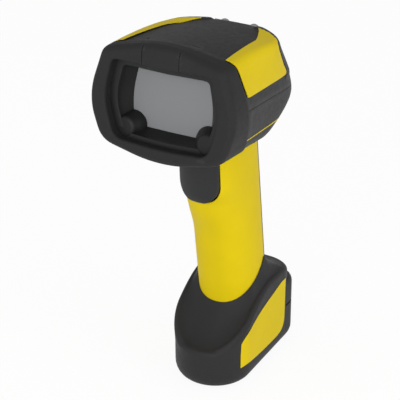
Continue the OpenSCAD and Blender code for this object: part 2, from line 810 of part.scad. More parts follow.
module rear_grip() {
    color(black) moulded() difference() {
        under_head(0.05) {
            intersection() {
                difference() {
                    grip_form(-0.3, 48, grip_high);
                    grip_form(grip_wall, 47.9, grip_high + 0.01);
                }
                strap_zone(0);
            }
            // Bosses that reach the handle's webs
            intersection() {
                for (z = grip_screw_z) translate([0, grip_y(z) + web_y + 3.03, z]) rotate([-90, 0, 0])
                    cylinder(d = 7, h = 10, $fn = 24);
                grip_form(0.3, 52, grip_high);
            }
        }
        for (z = grip_screw_z) grip_screw_line(z) {
            cylinder(d = 2.4, h = 30, center = true, $fn = 16);
            translate([0, 0, -8]) cylinder(d = 5, h = 8 + grip_screw_seat, $fn = 24);
        }
    }
}

module grip_screws() {
    color(steel) for (z = grip_screw_z) grip_screw_line(z) translate([0, 0, grip_screw_seat - 0.02])
        mirror([0, 0, 1]) screw(2.2, 8, 4.6, 1.6);
}

// Trigger and its switch

trigger_face = -37.8;
trigger_depth = 7;
trigger_tilt = 2;

module trigger() {
    side_t = 1.8;
    color(black) difference() {
        union() {
            moulded() intersection() {
                // Rounded in plan, with a round lower end
                translate([0, trigger_face + 16.2, trigger_low - 4]) cylinder(r = 16.3, h = 40);
                translate([0, trigger_face - 4, 0]) rotate([90, 0, 0]) mirror([0, 0, 1]) linear_extrude(40) {
                    translate([0, trigger_low + trigger_w / 2]) circle(r = trigger_w / 2);
                    translate([-trigger_w / 2, trigger_low + trigger_w / 2]) square([trigger_w, 18]);
                }
                union() {
                    rotate([90, 0, 90]) linear_extrude(60, center = true)
                        polygon([[trigger_face, pivot_z + 2.9], [trigger_face - 0.2, 124], [trigger_face + 0.9, 114],
                            [trigger_face + 2.4, 110], [trigger_face + 4.6, 107.9], [trigger_face + 7, 107.3],
                            [trigger_face + 9, 108.4], [trigger_face + 8.6, pivot_z + 2.9]]);
                    // Side walls, so that no gap shows beside the paddle
                    both_sides() translate([trigger_w / 2 - side_t, trigger_face + 6, trigger_low - 2])
                        cube([side_t + 1, 8.6, pivot_z + 4.3 - trigger_low]);
                }
            }
            // Arms back to the pivot, and the boss that meets the switch
            both_sides() {
                translate([6.4, pivot_y, pivot_z]) rotate([0, 90, 0]) cylinder(d = 6.4, h = trigger_w / 2 - 6.4);
                translate([6.4, trigger_face + 6, pivot_z - 3.2]) cube([trigger_w / 2 - 6.4, pivot_y - trigger_face - 6, 6]);
            }
            translate([-3, trigger_face + 7, 116]) cube([6, 7.4, 5]);
        }
        translate([-20, pivot_y, pivot_z]) rotate([0, 90, 0]) cylinder(d = pin_d + 2 * pin_clear, h = 40);
        // Seat of the spring
        translate([0, trigger_face + 8, 127]) rotate([-90, 0, 0]) cylinder(d = 5, h = 4);
    }
}

module trigger_pin() {
    color(steel) translate([-13.8, pivot_y, pivot_z]) rotate([0, 90, 0]) cylinder(d = pin_d, h = 27.6);
}

switch_face = -19.8;

module trigger_spring() {
    // Five curls between the trigger's back and the bracket
    spring_r = 1.9;
    wire_r = 0.25;
    from = trigger_face + 8 + wire_r + 0.02;
    to = bracket_y - wire_r - 0.02;
    curls = 5;
    color(steel) tube([for (i = [0:curls * 8])
        [spring_r * cos(45 * i), mix(from, to, i / (curls * 8)), 127 + spring_r * sin(45 * i)]], wire_r, 6);
}

bracket_y = -16.4;

module switch_bracket() {
    color(grey) difference() {
        translate([-cheek_x + 0.3, bracket_y, 110]) cube([2 * cheek_x - 0.6, 3, 19.4]);
        for (x = [-6, 6]) translate([x, bracket_y - 1, 118.5]) rotate([-90, 0, 0]) cylinder(d = 2, h = 6);
    }
    color(grey) both_sides() translate([cheek_x - 2.2, bracket_y - 3, 114]) cube([2.18, 3.02, 12]);
}

module trigger_switch() {
    color(dark) {
        difference() {
            translate([-4.2, switch_face, 113.5]) cube([8.4, bracket_y - switch_face - 0.02, 10]);
            translate([0, switch_face - 1, 118.5]) rotate([-90, 0, 0]) cylinder(d = 2.5, h = 3.6);
        }
    }
}

plunger_d = 2.4;

module switch_plunger() {
    color([0.7, 0.15, 0.1]) translate([0, trigger_face + 14.4 + fit_gap, 118.5]) rotate([-90, 0, 0])
        cylinder(d = plunger_d, h = switch_face + 0.5 - (trigger_face + 14.4 + fit_gap));
}

// Leads from the contact block up the handle to the main board, points chosen by hand
lead_route = [[0, -21.5, 20.1], [0, -21.2, 26], [0, -20, 32], [0, -15.8, 36.4], [0, -12.4, 39.6], [0, -10, 43.5],
    [0, -8.5, 54], [0, -8, 66], [0, -8, 80], [0, -8.5, 96], [0, -9, 108], [0, -9, 118], [0, -10, 126],
    [0, -12.6, 133], [0, -15.8, 138], [0, -17, 144], [0, -17, 152], [0, -17, 160], [0, -17.3, 168],
    [0, -17.5, 177.1]];

module power_leads() {
    color([0.6, 0.1, 0.1]) for (x = [-1, 1]) tube([for (p = lead_route) [x, p[1], p[2]]], 0.7, 8);
}

// The foot: rings from the floor up the walls to the ridge, then in to the rim around the handle

foot_half_w = foot_w / 2;
toe_r = foot_half_w;
heel_r = 9;
ridge_r = 15;
ridge_x = foot_half_w + 0.6;
lip_in = 3;

function ridge_z(y) = 21.8 + 26.4 * (1 - pow(1 - clamp01((y + toe_y - 3.5) / 40), 1.6)) - 3.6 * ease((y - 14) / 24);
function rim_z(y) = min(41.8 + 0.72 * (y + 17.7), 61 - rim_fall * max(0, y - 9));

// Plan outline of the foot for a half width, and how far the toe and the heel stand in
function foot_half(w, toe_in, heel_in, k = heel_r) =
    let (r = w, c = -toe_y + toe_r, rear = heel_y - heel_in)
    concat([for (a = [0:11.25:90]) [r * sin(a), c - (toe_r - toe_in) * cos(a)]],
        [for (y = [-6, 2, 9, 14.5]) [w, y]],
        [for (a = [0:22.5:90]) [w - k + k * cos(a), rear - k + k * sin(a)]],
        [[0, rear]]);
function level(half, z) = whole_ring([for (p = half) [p[0], p[1], z]]);
function ridge_ring(inset, drop) =
    whole_ring([for (p = foot_half(ridge_x - inset, inset, inset + lip_in, ridge_r)) [p[0], p[1], ridge_z(p[1]) - drop]]);
function rim_ring(gap) = let (n = len(foot_half(1, 0, 0)))
    whole_ring([for (i = [0:n - 1])
        let (a = i < 9 ? i * 9 : i < 13 ? 80 + (i - 9) * 12.5 : 128 + (i - 13) * 10.4)
        let (p = grip_point(50, a, -gap))
        [p[0], p[1] - grip_lean * (rim_z(p[1]) - 50), rim_z(p[1])]]);
function between(low, high, k, bend) = [for (i = [0:len(low) - 1])
    [mix(low[i][0], high[i][0], k), mix(low[i][1], high[i][1], k), mix(low[i][2], high[i][2], pow(k, bend))]];

function wall_rings(inset) = [
    level(foot_half(foot_half_w - 4.2 - inset, 4.2 + inset, 4.2 + inset), 0),
    level(foot_half(foot_half_w - 2 - inset, 2 + inset, 2 + inset), 1.2),
    level(foot_half(foot_half_w - 0.7 - inset, 0.7 + inset, 0.7 + inset), 3.4),
    level(foot_half(foot_half_w - 0.1 - inset, 0.1 + inset, 0.1 + inset), 6.6),
    level(foot_half(foot_half_w - inset, inset, inset), 18)];

module foot_form() {
    ridge = ridge_ring(0.9, -0.6);
    rim = rim_ring(0.6);
    loft(concat(wall_rings(0),
        [ridge_ring(0, 1.4), ridge],
        [for (k = [0.25, 0.5, 0.75]) between(ridge, rim, k, 1.6)], [rim]));
}

module foot_hollow() {
    w = foot_wall;
    loft([level(foot_half(foot_half_w - w, w, w), 3), level(foot_half(foot_half_w - w, w, w), 18),
        ridge_ring(w + 0.8, w + 1.6), between(ridge_ring(w + 1.6, w + 0.6), rim_ring(-w), 0.5, 1.6)]);
}

foot_screw_at = [[-9.5, -5], [9.5, -5], [-9.5, 13], [9.5, 13]];
cap_y = 24.5;
bay_x = 16.6;
pack_front = -16.6;
pack_x = bay_x - fit_gap;
pack_low = 3.3;
pack_wall = 1.5;
pack_high = pack_low + 2 * pack_wall + cell_d + 4.1;
cell_x = cell_d / 2 + 0.1;
cap_top = 39.5;
bay_front = pack_front - 0.8;
bay_top = pack_high + 0.8;
socket_floor_t = 2.6;
lock_z = 28.4;
lock_reach = 8;

module foot_housing() {
    color(black) difference() {
        moulded() difference() {
            foot_form();
            difference() {
                foot_hollow();
                // Roof of the battery bay, floor of the handle's socket, and the rails beside the battery
                translate([-40, bay_front - 3, bay_top]) cube([80, 60, 2.2]);
                translate([-40, -60, foot_roof - socket_floor_t]) cube([80, 120, 60]);
                both_sides() translate([bay_x, -12, 8]) cube([10, 36, 4]);
                // Boss and rear wall for the battery's screw
                translate([0, cap_y - lock_reach - 4, lock_z]) rotate([-90, 0, 0]) cylinder(d = 7.4, h = 20, $fn = 24);
                translate([-40, cap_y - 2.4, bay_top]) cube([80, 20, 20]);
            }
            // Opening at the rear for the battery and its end cap
            translate([-40, cap_y, -10]) cube([80, 60, cap_top + 0.5 + 10]);
            translate([-bay_x, cap_y - 4, 3]) cube([2 * bay_x, 60, bay_top - 3]);
            // Socket for the handle, with the way for its leads
            grip_form(-0.15, foot_roof, 80);
            translate([0, -20.8, 23]) cylinder(d = 4.6, h = 10, $fn = 20);
            translate([0, -20.6, 31]) rotate([-46, 0, 0]) cylinder(d = 4.6, h = 14, $fn = 20);
            for (p = foot_screw_at) translate([p[0], p[1], 0]) {
                translate([0, 0, 20]) cylinder(d = 2.4, h = 30, $fn = 16);
                translate([0, 0, bay_top - 1]) cylinder(d = 5.4, h = 5, $fn = 20);
            }
            foot_panel_cut(0.1);
            for (x = charge_x) translate([x, charge_y, -1]) cylinder(d = 5.1, h = 5, $fn = 32);
        }
        translate([0, cap_y - lock_reach - 1, lock_z]) rotate([-90, 0, 0]) cylinder(d = lock_d + 2 * pin_clear, h = 40);
    }
}

charge_x = [-7, 7];
charge_y = -27.5;

module charge_contacts() {
    color(brass) for (x = charge_x) translate([x, charge_y, 0.3]) {
        cylinder(d = 5, h = 2.9);
        translate([0, 0, 2.88]) cylinder(d = 2, h = 2);
    }
}

panel_sink = 1.1;

module foot_panel_outline(grow) {
    // Side view of the yellow inlay
    rotate([90, 0, 90]) linear_extrude(60) offset(delta = grow)
        polygon([[-25.2, 10.4], [-25.6, 14], [-25.6, 25.4], [-19, 30.6], [-12, 34], [-2, 37], [8, 39.2],
            [22.2, 41.6], [23, 30], [22.8, 17], [21.4, 12.6], [19, 10.2], [15.5, 9.3], [-10, 9.3]]);
}

module foot_shell_band(inner, outer) {
    difference() {
        foot_band(outer);
        foot_band(inner);
    }
}

module foot_band(inset) {
    loft(concat([for (i = [1:4]) wall_rings(inset)[i]], [ridge_ring(inset, 1.4), ridge_ring(inset, -4)]));
}

module foot_panel_cut(gap) {
    both_sides() intersection() {
        foot_panel_outline(gap);
        foot_shell_band(panel_sink + gap, -2);
    }
}

module foot_panel() {
    moulded() intersection() {
        foot_panel_outline(0);
        foot_shell_band(panel_sink, 0);
    }
}

module right_foot_panel() {
    color(yellow) foot_panel();
}

module left_foot_panel() {
    color(yellow) mirror([1, 0, 0]) foot_panel();
}

module foot_screws() {
    color(steel) for (p = foot_screw_at) translate([p[0], p[1], foot_roof - socket_floor_t - 0.02])
        mirror([0, 0, 1]) screw(2, 10, 4.4, 1.6);
}

// Contacts and the battery

block_y = -24;

module contact_block() {
    color(dark) difference() {
        translate([-12, block_y, 3.02]) cube([24, 5, 17]);
        for (x = contact_x) translate([x, block_y + 1, contact_z]) rotate([-90, 0, 0]) cylinder(d = 2.1, h = 6);
    }
}

contact_x = [-6, 0, 6];
contact_z = 13;

module contact_pins() {
    color(brass) for (x = contact_x) translate([x, block_y + 1.02, contact_z]) rotate([-90, 0, 0]) {
        cylinder(d = 2, h = 4.6);
        cylinder(d = 1.3, h = pack_front - 0.7 - block_y - 1.02);
    }
}

module cap_form() {
    // The end cap carries on the foot's outside, with a rounded top edge
    loft(concat(wall_rings(0), [level(foot_half(foot_half_w, 0, 0), cap_top - 5.5),
        level(foot_half(foot_half_w - 0.9, 0.9, 0.9), cap_top - 2.4),
        level(foot_half(foot_half_w - 2.4, 2.4, 2.4), cap_top - 0.6),
        level(foot_half(foot_half_w - 4, 4, 4), cap_top)]));
}

module battery_case() {
    color(black) difference() {
        moulded() difference() {
            union() {
                intersection() {
                    cap_form();
                    translate([-40, cap_y + seam_gap, -1]) cube([80, 60, 60]);
                }
                translate([-pack_x, pack_front, pack_low])
                    cube([2 * pack_x, cap_y - pack_front + 2, pack_high - pack_low]);
            }
            // Room for the cells, open at the top under the lid
            translate([-pack_x + pack_wall, pack_front + pack_wall, pack_low + pack_wall])
                cube([2 * pack_x - 2 * pack_wall, cell_len + 0.6, pack_high - pack_low - 2 * pack_wall]);
            translate([-pack_x + pack_wall, pack_front + pack_wall, pack_high - pack_wall - 1])
                cube([2 * pack_x - 2 * pack_wall, cap_y - pack_front - pack_wall, 10]);
            // Grip groove across the end cap
            translate([-30, heel_y - 0.7, 22]) cube([60, 5, 0.9]);
        }
        translate([0, 10, lock_z]) rotate([-90, 0, 0]) cylinder(d = lock_d + 0.3, h = 60);
        translate([0, heel_y - 3, lock_z]) rotate([-90, 0, 0]) cylinder(d = 9.4, h = 10);
    }
}

module battery_lid() {
    color(dark) translate([-pack_x + pack_wall + 0.1, pack_front + pack_wall + 0.1, pack_high - pack_wall])
        cube([2 * pack_x - 2 * pack_wall - 0.2, cap_y - pack_front - pack_wall - 0.2, pack_wall]);
}

module battery_cells() {
    color([0.2, 0.45, 0.7]) both_sides()
        translate([cell_x, pack_front + pack_wall + 0.3, pack_low + pack_wall + 0.02 + cell_d / 2])
            rotate([-90, 0, 0]) cylinder(d = cell_d, h = cell_len);
}

module battery_board() {
    color(green) translate([-13, pack_front + pack_wall + 1, pack_low + pack_wall + cell_d + 0.3]) cube([26, 34, 1.4]);
}

module battery_pads() {
    color(brass) for (x = contact_x) translate([x - 2, pack_front - 0.4, contact_z - 3]) cube([4, 0.38, 6]);
}

module battery_screw() {
    color(steel) translate([0, heel_y - 2.98, lock_z]) rotate([-90, 0, 0]) difference() {
        union() {
            translate([0, 0, cap_y - lock_reach - heel_y + 3]) cylinder(d = lock_d, h = heel_y - 3 - cap_y + lock_reach);
            cylinder(d = 9, h = 2.4);
        }
        translate([-5, -0.7, 1.2]) cube([10, 1.4, 3]);
    }
}

front_bumper();
window_bezel();
scan_window();
window_seal();
head_top_cover();
head_lower_shell();
left_head_panel();
right_head_panel();
left_accent_strip();
right_accent_strip();
cover_screws();
status_lens();
hanger_bracket();
hanger_screws();
engine_frame();
frame_screws();
imager_module();
imager_lens();
aiming_laser();
illumination_board();
illumination_leds();
main_board();
board_chips();
radio_module();
beeper();
flex_cable();
handle_shell();
neck_screws();
rear_grip();
grip_screws();
trigger();
trigger_pin();
trigger_spring();
switch_bracket();
trigger_switch();
switch_plunger();
power_leads();
foot_housing();
foot_screws();
left_foot_panel();
right_foot_panel();
contact_block();
contact_pins();
charge_contacts();
battery_case();
battery_lid();
battery_cells();
battery_board();
battery_pads();
battery_screw();
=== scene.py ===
import math

import bmesh
import bpy
import numpy as np
from mathutils import Matrix, Vector


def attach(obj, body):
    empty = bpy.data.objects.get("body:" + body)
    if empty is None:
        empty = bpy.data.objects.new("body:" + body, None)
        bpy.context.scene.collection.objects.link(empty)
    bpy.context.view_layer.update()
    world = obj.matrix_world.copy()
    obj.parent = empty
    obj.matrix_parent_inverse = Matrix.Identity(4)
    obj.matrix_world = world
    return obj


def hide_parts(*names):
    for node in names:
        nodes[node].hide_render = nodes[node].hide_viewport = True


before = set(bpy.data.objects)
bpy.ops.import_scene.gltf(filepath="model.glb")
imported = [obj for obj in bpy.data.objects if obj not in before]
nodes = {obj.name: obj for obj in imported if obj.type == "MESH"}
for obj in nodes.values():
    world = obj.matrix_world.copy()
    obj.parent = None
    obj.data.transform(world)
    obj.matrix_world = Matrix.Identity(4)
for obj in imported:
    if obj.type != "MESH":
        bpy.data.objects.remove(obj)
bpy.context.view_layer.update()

# Foot housing
# The flared black foot is one hard nylon moulding, open at its rear for the battery.
# Its lip closes round the handle, which four screws hold from inside the battery bay.

foot_x = 21.4  # half width of the foot
toe = 38.5  # from the foot's middle to its toe
heel = 38.2  # from there to the battery's rear face
heel_corner = 9
seam_y = 24.5  # where the housing ends and the battery's cap begins
cap_top = 39.5
curl_in, curl_up = 4.2, 6.6  # how far the wall rounds in under the foot, and how high
knee_z = 18  # the wall stands straight up to here
ridge_drop = 2.3  # from the ridge's crest down to where its rounding starts
grip_w, grip_d = 33, 38.4
grip_y, grip_lean = 8.1, 0.14  # the handle's axis at the floor, and its shift for each mm up
grip_oval, neck_oval = 0.9, 0.7  # 1 is an ellipse and less is squarer; the front squares towards the head
case_wall = 2.2
black_shade = (43, 43, 44)


def mix(a, b, k):
    return a + (b - a) * k


def ease(v):
    k = min(1.0, max(0.0, v))
    return k * k * (3 - 2 * k)


def light(shade):
    """A printed shade, 0 to 255 a channel, as the colour that light is worked out with"""
    return [(c / 255 / 12.92 if c < 11 else ((c / 255 + 0.055) / 1.055) ** 2.4) for c in shade] + [1.0]


def new_finish(name):
    """An empty finish: its tree, its shader and the place on the piece that patterns read"""
    finish = bpy.data.materials.new(name)
    finish.use_nodes = True
    tree = finish.node_tree
    return finish, tree, tree.nodes["Principled BSDF"], tree.nodes.new("ShaderNodeTexCoord").outputs["Object"]


def noise(tree, place, scale, detail, ragged=0.5):
    n = tree.nodes.new("ShaderNodeTexNoise")
    for label, value in (("Scale", scale), ("Detail", detail), ("Roughness", ragged)):
        n.inputs[label].default_value = value
    tree.links.new(place, n.inputs["Vector"])
    return n.outputs["Fac"]


def spread(tree, value, low, high, to_low, to_high):
    n = tree.nodes.new("ShaderNodeMapRange")
    for label, v in zip(("From Min", "From Max", "To Min", "To Max"), (low, high, to_low, to_high)):
        n.inputs[label].default_value = v
    tree.links.new(value, n.inputs["Value"])
    return n.outputs["Result"]


def blend(tree, share, a, b):
    """A mix of two colours, each a list or the output of a node"""
    n = tree.nodes.new("ShaderNodeMix")
    n.data_type = "RGBA"
    tree.links.new(share, n.inputs[0])
    for socket, c in ((n.inputs[6], a), (n.inputs[7], b)):
        if isinstance(c, list):
            socket.default_value = c
        else:
            tree.links.new(c, socket)
    return n.outputs[2]


def grain_bump(tree, skin, height, strength, depth):
    n = tree.nodes.new("ShaderNodeBump")
    n.inputs["Strength"].default_value = strength
    n.inputs["Distance"].default_value = depth
    tree.links.new(height, n.inputs["Height"])
    tree.links.new(n.outputs["Normal"], skin.inputs["Normal"])


def moulded_plastic(name, shade, rough, grain, depth, gloss=0.2, edge_highlight_lift=12, drift=0.05):
    """Injection-moulded skin: spark-eroded grain, a slow drift in shade, and edges painted lighter as a
    highlight
    """
    finish, tree, skin, place = new_finish(name)
    skin.inputs["Specular IOR Level"].default_value = gloss
    colour = light(shade)
    darker = [c * (1 - drift) for c in colour[:3]] + [1.0]
    paler = [c * (1 + drift) for c in colour[:3]] + [1.0]
    body = blend(tree, spread(tree, noise(tree, place, 38, 4), 0.3, 0.7, 0, 1), darker, paler)
    # Painted highlight: convex edges, found by pointiness and broken into noise patches, are painted lighter
    # by so much
    painted_edge_highlight = light([min(255, c + edge_highlight_lift) for c in shade])
    form = tree.nodes.new("ShaderNodeNewGeometry")
    edge = tree.nodes.new("ShaderNodeMath")
    edge.operation = "MULTIPLY"
    patches = noise(tree, place, 240, 5, 0.65)
    tree.links.new(spread(tree, form.outputs["Pointiness"], 0.51, 0.6, 0, 1), edge.inputs[0])
    tree.links.new(spread(tree, patches, 0.35, 0.65, 0.35, 1), edge.inputs[1])
    tree.links.new(blend(tree, edge.outputs[0], body, painted_edge_highlight), skin.inputs["Base Color"])
    sheen = spread(tree, noise(tree, place, 420, 4, 0.6), 0.3, 0.7, rough - 0.05, rough + 0.05)
    tree.links.new(sheen, skin.inputs["Roughness"])
    grain_bump(tree, skin, noise(tree, place, grain, 3, 0.6), 0.6, depth)
    return finish


def rework(mesh, work):
    """Opens a mesh, lets work change it and writes it back"""
    bm = bmesh.new()
    bm.from_mesh(mesh)
    work(bm)
    bm.to_mesh(mesh)
    bm.free()


def placed(name, data):
    thing = bpy.data.objects.new(name, data)
    bpy.context.scene.collection.objects.link(thing)
    return thing


def piece_of(name, points, faces, heart):
    """A piece from points in mm, its faces turned away from the heart of its wall"""
    def close_up(bm):
        bmesh.ops.remove_doubles(bm, verts=bm.verts, dist=2e-6)
        bmesh.ops.dissolve_degenerate(bm, edges=bm.edges, dist=1e-6)
        bmesh.ops.recalc_face_normals(bm, faces=bm.faces)
        out = 0.0
        for f in bm.faces:
            c = f.calc_center_median()
            out += f.normal.dot(c - Vector(heart(c * 1000)) * 0.001) * f.calc_area()
        if out < 0:
            bmesh.ops.reverse_faces(bm, faces=bm.faces)
    mesh = bpy.data.meshes.new(name)
    mesh.from_pydata([tuple(float(c) * 0.001 for c in p) for p in points], [], faces)
    rework(mesh, close_up)
    return placed(name, mesh)


def skin_piece(name, rows, heart, left_too=True, left_out=None, ring=False):
    """Quads between rows of points of the right half; the left half is their mirror image"""
    wide = len(rows[0])
    points = [p for row in rows for p in row]
    faces = []
    for r in range(len(rows) if ring else len(rows) - 1):
        start, after = r * wide, (r + 1) % len(rows) * wide
        for c in range(wide - 1):
            if left_out is None or not left_out(r, c):
                faces.append((start + c, start + c + 1, after + c + 1, after + c))
    if left_too:
        count = len(points)
        points = points + [(-p[0], p[1], p[2]) for p in points]
        faces = faces + [tuple(i + count for i in reversed(f)) for f in faces]
    return piece_of(name, points, faces, heart)


def settle(piece):
    """Leaves the piece as a plain mesh of what its modifiers made"""
    bpy.context.view_layer.update()
    deps = bpy.context.evaluated_depsgraph_get()
    made = bpy.data.meshes.new_from_object(piece.evaluated_get(deps), depsgraph=deps)
    made.name = piece.name
    piece.modifiers.clear()
    piece.data = made
    return piece


def wall(piece, thick, even=True):
    """Gives a skin its thickness, inwards"""
    m = piece.modifiers.new("wall", "SOLIDIFY")
    m.thickness = thick * 0.001
    m.offset = -1
    m.use_even_offset = even
    m.use_quality_normals = True
    m.thickness_clamp = 1.5
    return settle(piece)


def cut(piece, tool, how="DIFFERENCE", keep_tool=False):
    m = piece.modifiers.new("cut", "BOOLEAN")
    m.operation = how
    m.solver = "MANIFOLD"
    m.object = tool
    settle(piece)
    if not keep_tool:
        bpy.data.objects.remove(tool)
    return piece


def join(piece, *others):
    def add(bm):
        for o in others:
            bm.from_mesh(o.data)
            bpy.data.objects.remove(o)
    rework(piece.data, add)
    return piece


def round_edges(piece, reach, steps=2, angle=42):
    m = piece.modifiers.new("round", "BEVEL")
    m.width = reach * 0.001
    m.segments = steps
    m.limit_method = "ANGLE"
    m.angle_limit = math.radians(angle)
    m.use_clamp_overlap = True
    return settle(piece)


def smooth(piece, angle=32):
    for f in piece.data.polygons:
        f.use_smooth = True
    piece.data.set_sharp_from_angle(angle=math.radians(angle))
    return piece


def fit_out(piece, finish, slot, body, *stands_for):
    """The finish, the record's slot (not used), the body it moves with and the nodes it stands for"""
    piece.data.materials.clear()
    piece.data.materials.append(finish)
    if stands_for:
        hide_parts(*stands_for)
    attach(piece, body)
    return piece


def box_form(name, low, high, turn=None):
    """A plain block between two corners, for cuts and inner walls"""
    xs, ys, zs = zip(low, high)
    points = [(x, y, z) for x in xs for y in ys for z in zs]
    if turn:
        points = [tuple(turn(p)) for p in points]
    middle = np.mean(np.array(points), axis=0)
    faces = [(0, 1, 3, 2), (4, 6, 7, 5), (0, 4, 5, 1), (2, 3, 7, 6), (0, 2, 6, 4), (1, 5, 7, 3)]
    return piece_of(name, points, faces, lambda c: middle)


def peg_form(name, radius, low, high, turn, sides=40):
    """A round peg along its own Z from low to high, put in place by turn"""
    angles = [2 * math.pi * i / sides for i in range(sides)]
    points = [tuple(turn((radius * math.cos(a), radius * math.sin(a), z)))
              for z in (low, high) for a in angles]
    faces = [(i, (i + 1) % sides, sides + (i + 1) % sides, sides + i) for i in range(sides)]
    faces += [tuple(range(sides))[::-1], tuple(range(sides, 2 * sides))]
    middle = np.mean(np.array(points), axis=0)
    return piece_of(name, points, faces, lambda c: middle)


def side_x(y, wide, rear, corner):
    """Half width of the foot's plan at a place along it, round its rear corner"""
    over = y - (rear - corner)
    return wide if over <= 0 else wide - corner + math.sqrt(max(0.0, corner ** 2 - over ** 2))


def plan_front(wide, toe_in, rear, corner, end_y):
    """Right half of the foot's outline from above, from the toe to the battery's seam"""
    middle = foot_x - toe
    arc = [(wide * math.sin(a), middle - (foot_x - toe_in) * math.cos(a))
           for a in np.linspace(0, math.pi / 2, 27)]
    return arc + [(side_x(y, wide, rear, corner), y) for y in np.linspace(middle, end_y, 36)[1:]]


def plan_back(wide, rear, corner, start_y, count=40):
    """The rest of that outline, round the heel to its middle, evenly spaced"""
    start = rear - corner
    path = [(side_x(start_y, wide, rear, corner), start_y)]
    if start_y < start:
        path.append((wide, start))
    first = 0 if start_y < start else math.asin(min(1, (start_y - start) / corner))
    path += [(wide - corner + corner * math.cos(a), start + corner * math.sin(a))
             for a in np.linspace(first, math.pi / 2, 40)[1:]]
    path.append((0.0, rear))
    path = np.array(path)
    length = np.concatenate([[0], np.cumsum(np.hypot(*np.diff(path, axis=0).T))])
    at = np.linspace(0, length[-1], count + 1)
    return list(zip(np.interp(at, length, path[:, 0]), np.interp(at, length, path[:, 1])))


def front_oval(z):
    return mix(grip_oval, neck_oval, ease((z - 98) / 18))


def grip_point(z, turn, inset):
    """A point of the handle's oval at a height; turn is 0 at the front and 180 at the back"""
    a = math.radians(turn)
    # The front swells forward below the trigger and round its slot, then draws back to the head
    front = grip_d / 2 + 5.5 * ease((z - 80) / 24) + 3.6 * ease((z - 104) / 12) - 0.08 * max(0, z - 112)
    power = front_oval(z) if math.cos(a) > 0 else grip_oval
    reach = (front if math.cos(a) > 0 else grip_d / 2) - inset
    return ((grip_w / 2 - inset) * max(0.0, math.sin(a)) ** power,
            grip_y - grip_lean * z - reach * math.copysign(abs(math.cos(a)) ** power, math.cos(a)), z)


def ridge_z(y):
    """Height of the foot's ridge, which climbs from the toe and sinks a little to the heel"""
    return 21.8 + 26.4 * (1 - (1 - min(1, max(0, (y + toe - 3.5) / 40))) ** 1.6) - 3.6 * ease((y - 14) / 24)


def rim_z(y):
    """Height of the lip round the handle: two slopes that meet in a soft peak at its sides"""
    rise, fall = 41.8 + 0.72 * (y + 17.7), 61 - 0.95 * (y - 9)
    return -0.7 * math.log(math.exp(-rise / 0.7) + math.exp(-fall / 0.7))


def rim_turn(x, y, wide, rear, corner):
    """The angle round the handle that a point of the ridge climbs to"""
    if y <= foot_x - toe:
        return 0.8 * math.degrees(math.asin(min(1, x / wide)))
    start = rear - corner
    if y <= start:
        return float(np.interp(y, [foot_x - toe, -6, 2, 9, 14.5, start], [72, 80, 92.5, 105, 117.5, 128]))
    if x > wide - corner + 1e-6:
        return 128 + 0.4622 * math.degrees(math.atan2(y - start, x - wide + corner))
    return mix(180, 169.6, x / (wide - corner))


ridge_wide, ridge_rear, ridge_corner = foot_x + 0.6, heel - 3, 15
front_n = len(plan_front(foot_x, 0, heel, heel_corner, seam_y))


def foot_plan(inset, wide=foot_x, rear=heel, corner=heel_corner):
    front = plan_front(wide - inset, inset, rear - inset, corner, seam_y)
    return front + plan_back(wide - inset, rear - inset, corner, seam_y)[1:]


def ridge_row(inset, drop):
    return [(x, y, ridge_z(y) - drop) for x, y in foot_plan(inset, ridge_wide, ridge_rear, ridge_corner)]


def rim_row(grow, lift):
    out = []
    for x, y in foot_plan(0.9, ridge_wide, ridge_rear, ridge_corner):
        p = grip_point(50, rim_turn(x, y, ridge_wide - 0.9, ridge_rear - 0.9, ridge_corner), -grow)
        out.append((p[0], p[1] - grip_lean * (rim_z(p[1]) - 50), rim_z(p[1]) + lift))
    return out


def foot_heart(p):
    return (0, min(14, max(-16, p[1])), min(34, max(12, p[2])))


def curl_rows(plan):
    """The rounding between the rest face and the wall, for a plan that takes an inset"""
    return [[(x, y, curl_up * (1 - math.cos(a))) for x, y in plan(curl_in * (1 - math.sin(a)))]
            for a in np.linspace(0, math.pi / 2, 8)]


def wall_row(share):
    """A row of the leaning wall, a share of the way from the knee to the ridge in each column"""
    return [tuple(mix(np.array(a), np.array(b), share(opening_k[max(c, front_n - 1)])))
            for c, (a, b) in enumerate(zip(knee, ridge))]


# The rest face and the upright wall
rows = [[(x * k, y, 0) for x, y in foot_plan(curl_in)] for k in (0, 0.3, 0.6, 0.85)] + curl_rows(foot_plan)
rows += [[(x, y, z) for x, y in foot_plan(0)] for z in (10.4, 14.2, knee_z)]
# The leaning wall, first as high as the battery's opening and then up to the ridge
knee, ridge = rows[-1], ridge_row(0, ridge_drop)
opening_k = [(cap_top + 0.5 - knee_z) / (p[2] - knee_z) for p in ridge]
rows += [wall_row(lambda top: top * i / 10) for i in range(1, 11)]
opening_row = len(rows) - 1
rows += [wall_row(lambda top: mix(top, 1, i / 4)) for i in range(1, 5)]
# Round the ridge, up to the handle and down inside the lip
for a in np.linspace(0, math.pi / 2, 9)[1:]:
    rows.append(ridge_row(2 * (1 - math.cos(a)), ridge_drop - 2.7 * math.sin(a)))
brow, rim = rows[-1], rim_row(0.6, 0)
for k in np.linspace(0, 1, 22)[1:]:
    rows.append([(mix(a[0], b[0], k), mix(a[1], b[1], k),
                  mix(a[2], b[2], k ** mix(1.6, 1.1, ease(a[1] / 20)))) for a, b in zip(brow, rim)])
for grow, lift in ((0.52, 0.12), (0.36, 0.17), (0.2, 0.05), (0.12, -0.25), (0.12, -4)):
    rows.append(rim_row(grow, lift))
housing = skin_piece("foot_housing_moulding", rows, foot_heart,
                     left_out=lambda r, c: r < opening_row and c >= front_n - 1)
wall(housing, case_wall)
contact_x, contact_y = 7, -27.5
for x in (-contact_x, contact_x):
    cut(housing, peg_form("contact_hole", 2.55, -1, 5, lambda p, x=x: (p[0] + x, p[1] + contact_y, p[2])))
round_edges(housing, 0.35)
bay_top, bay_end = 25.2, seam_y - 0.2
bay_roof = box_form("bay_roof", (-18.9, -20, bay_top), (18.9, bay_end, bay_top + case_wall))
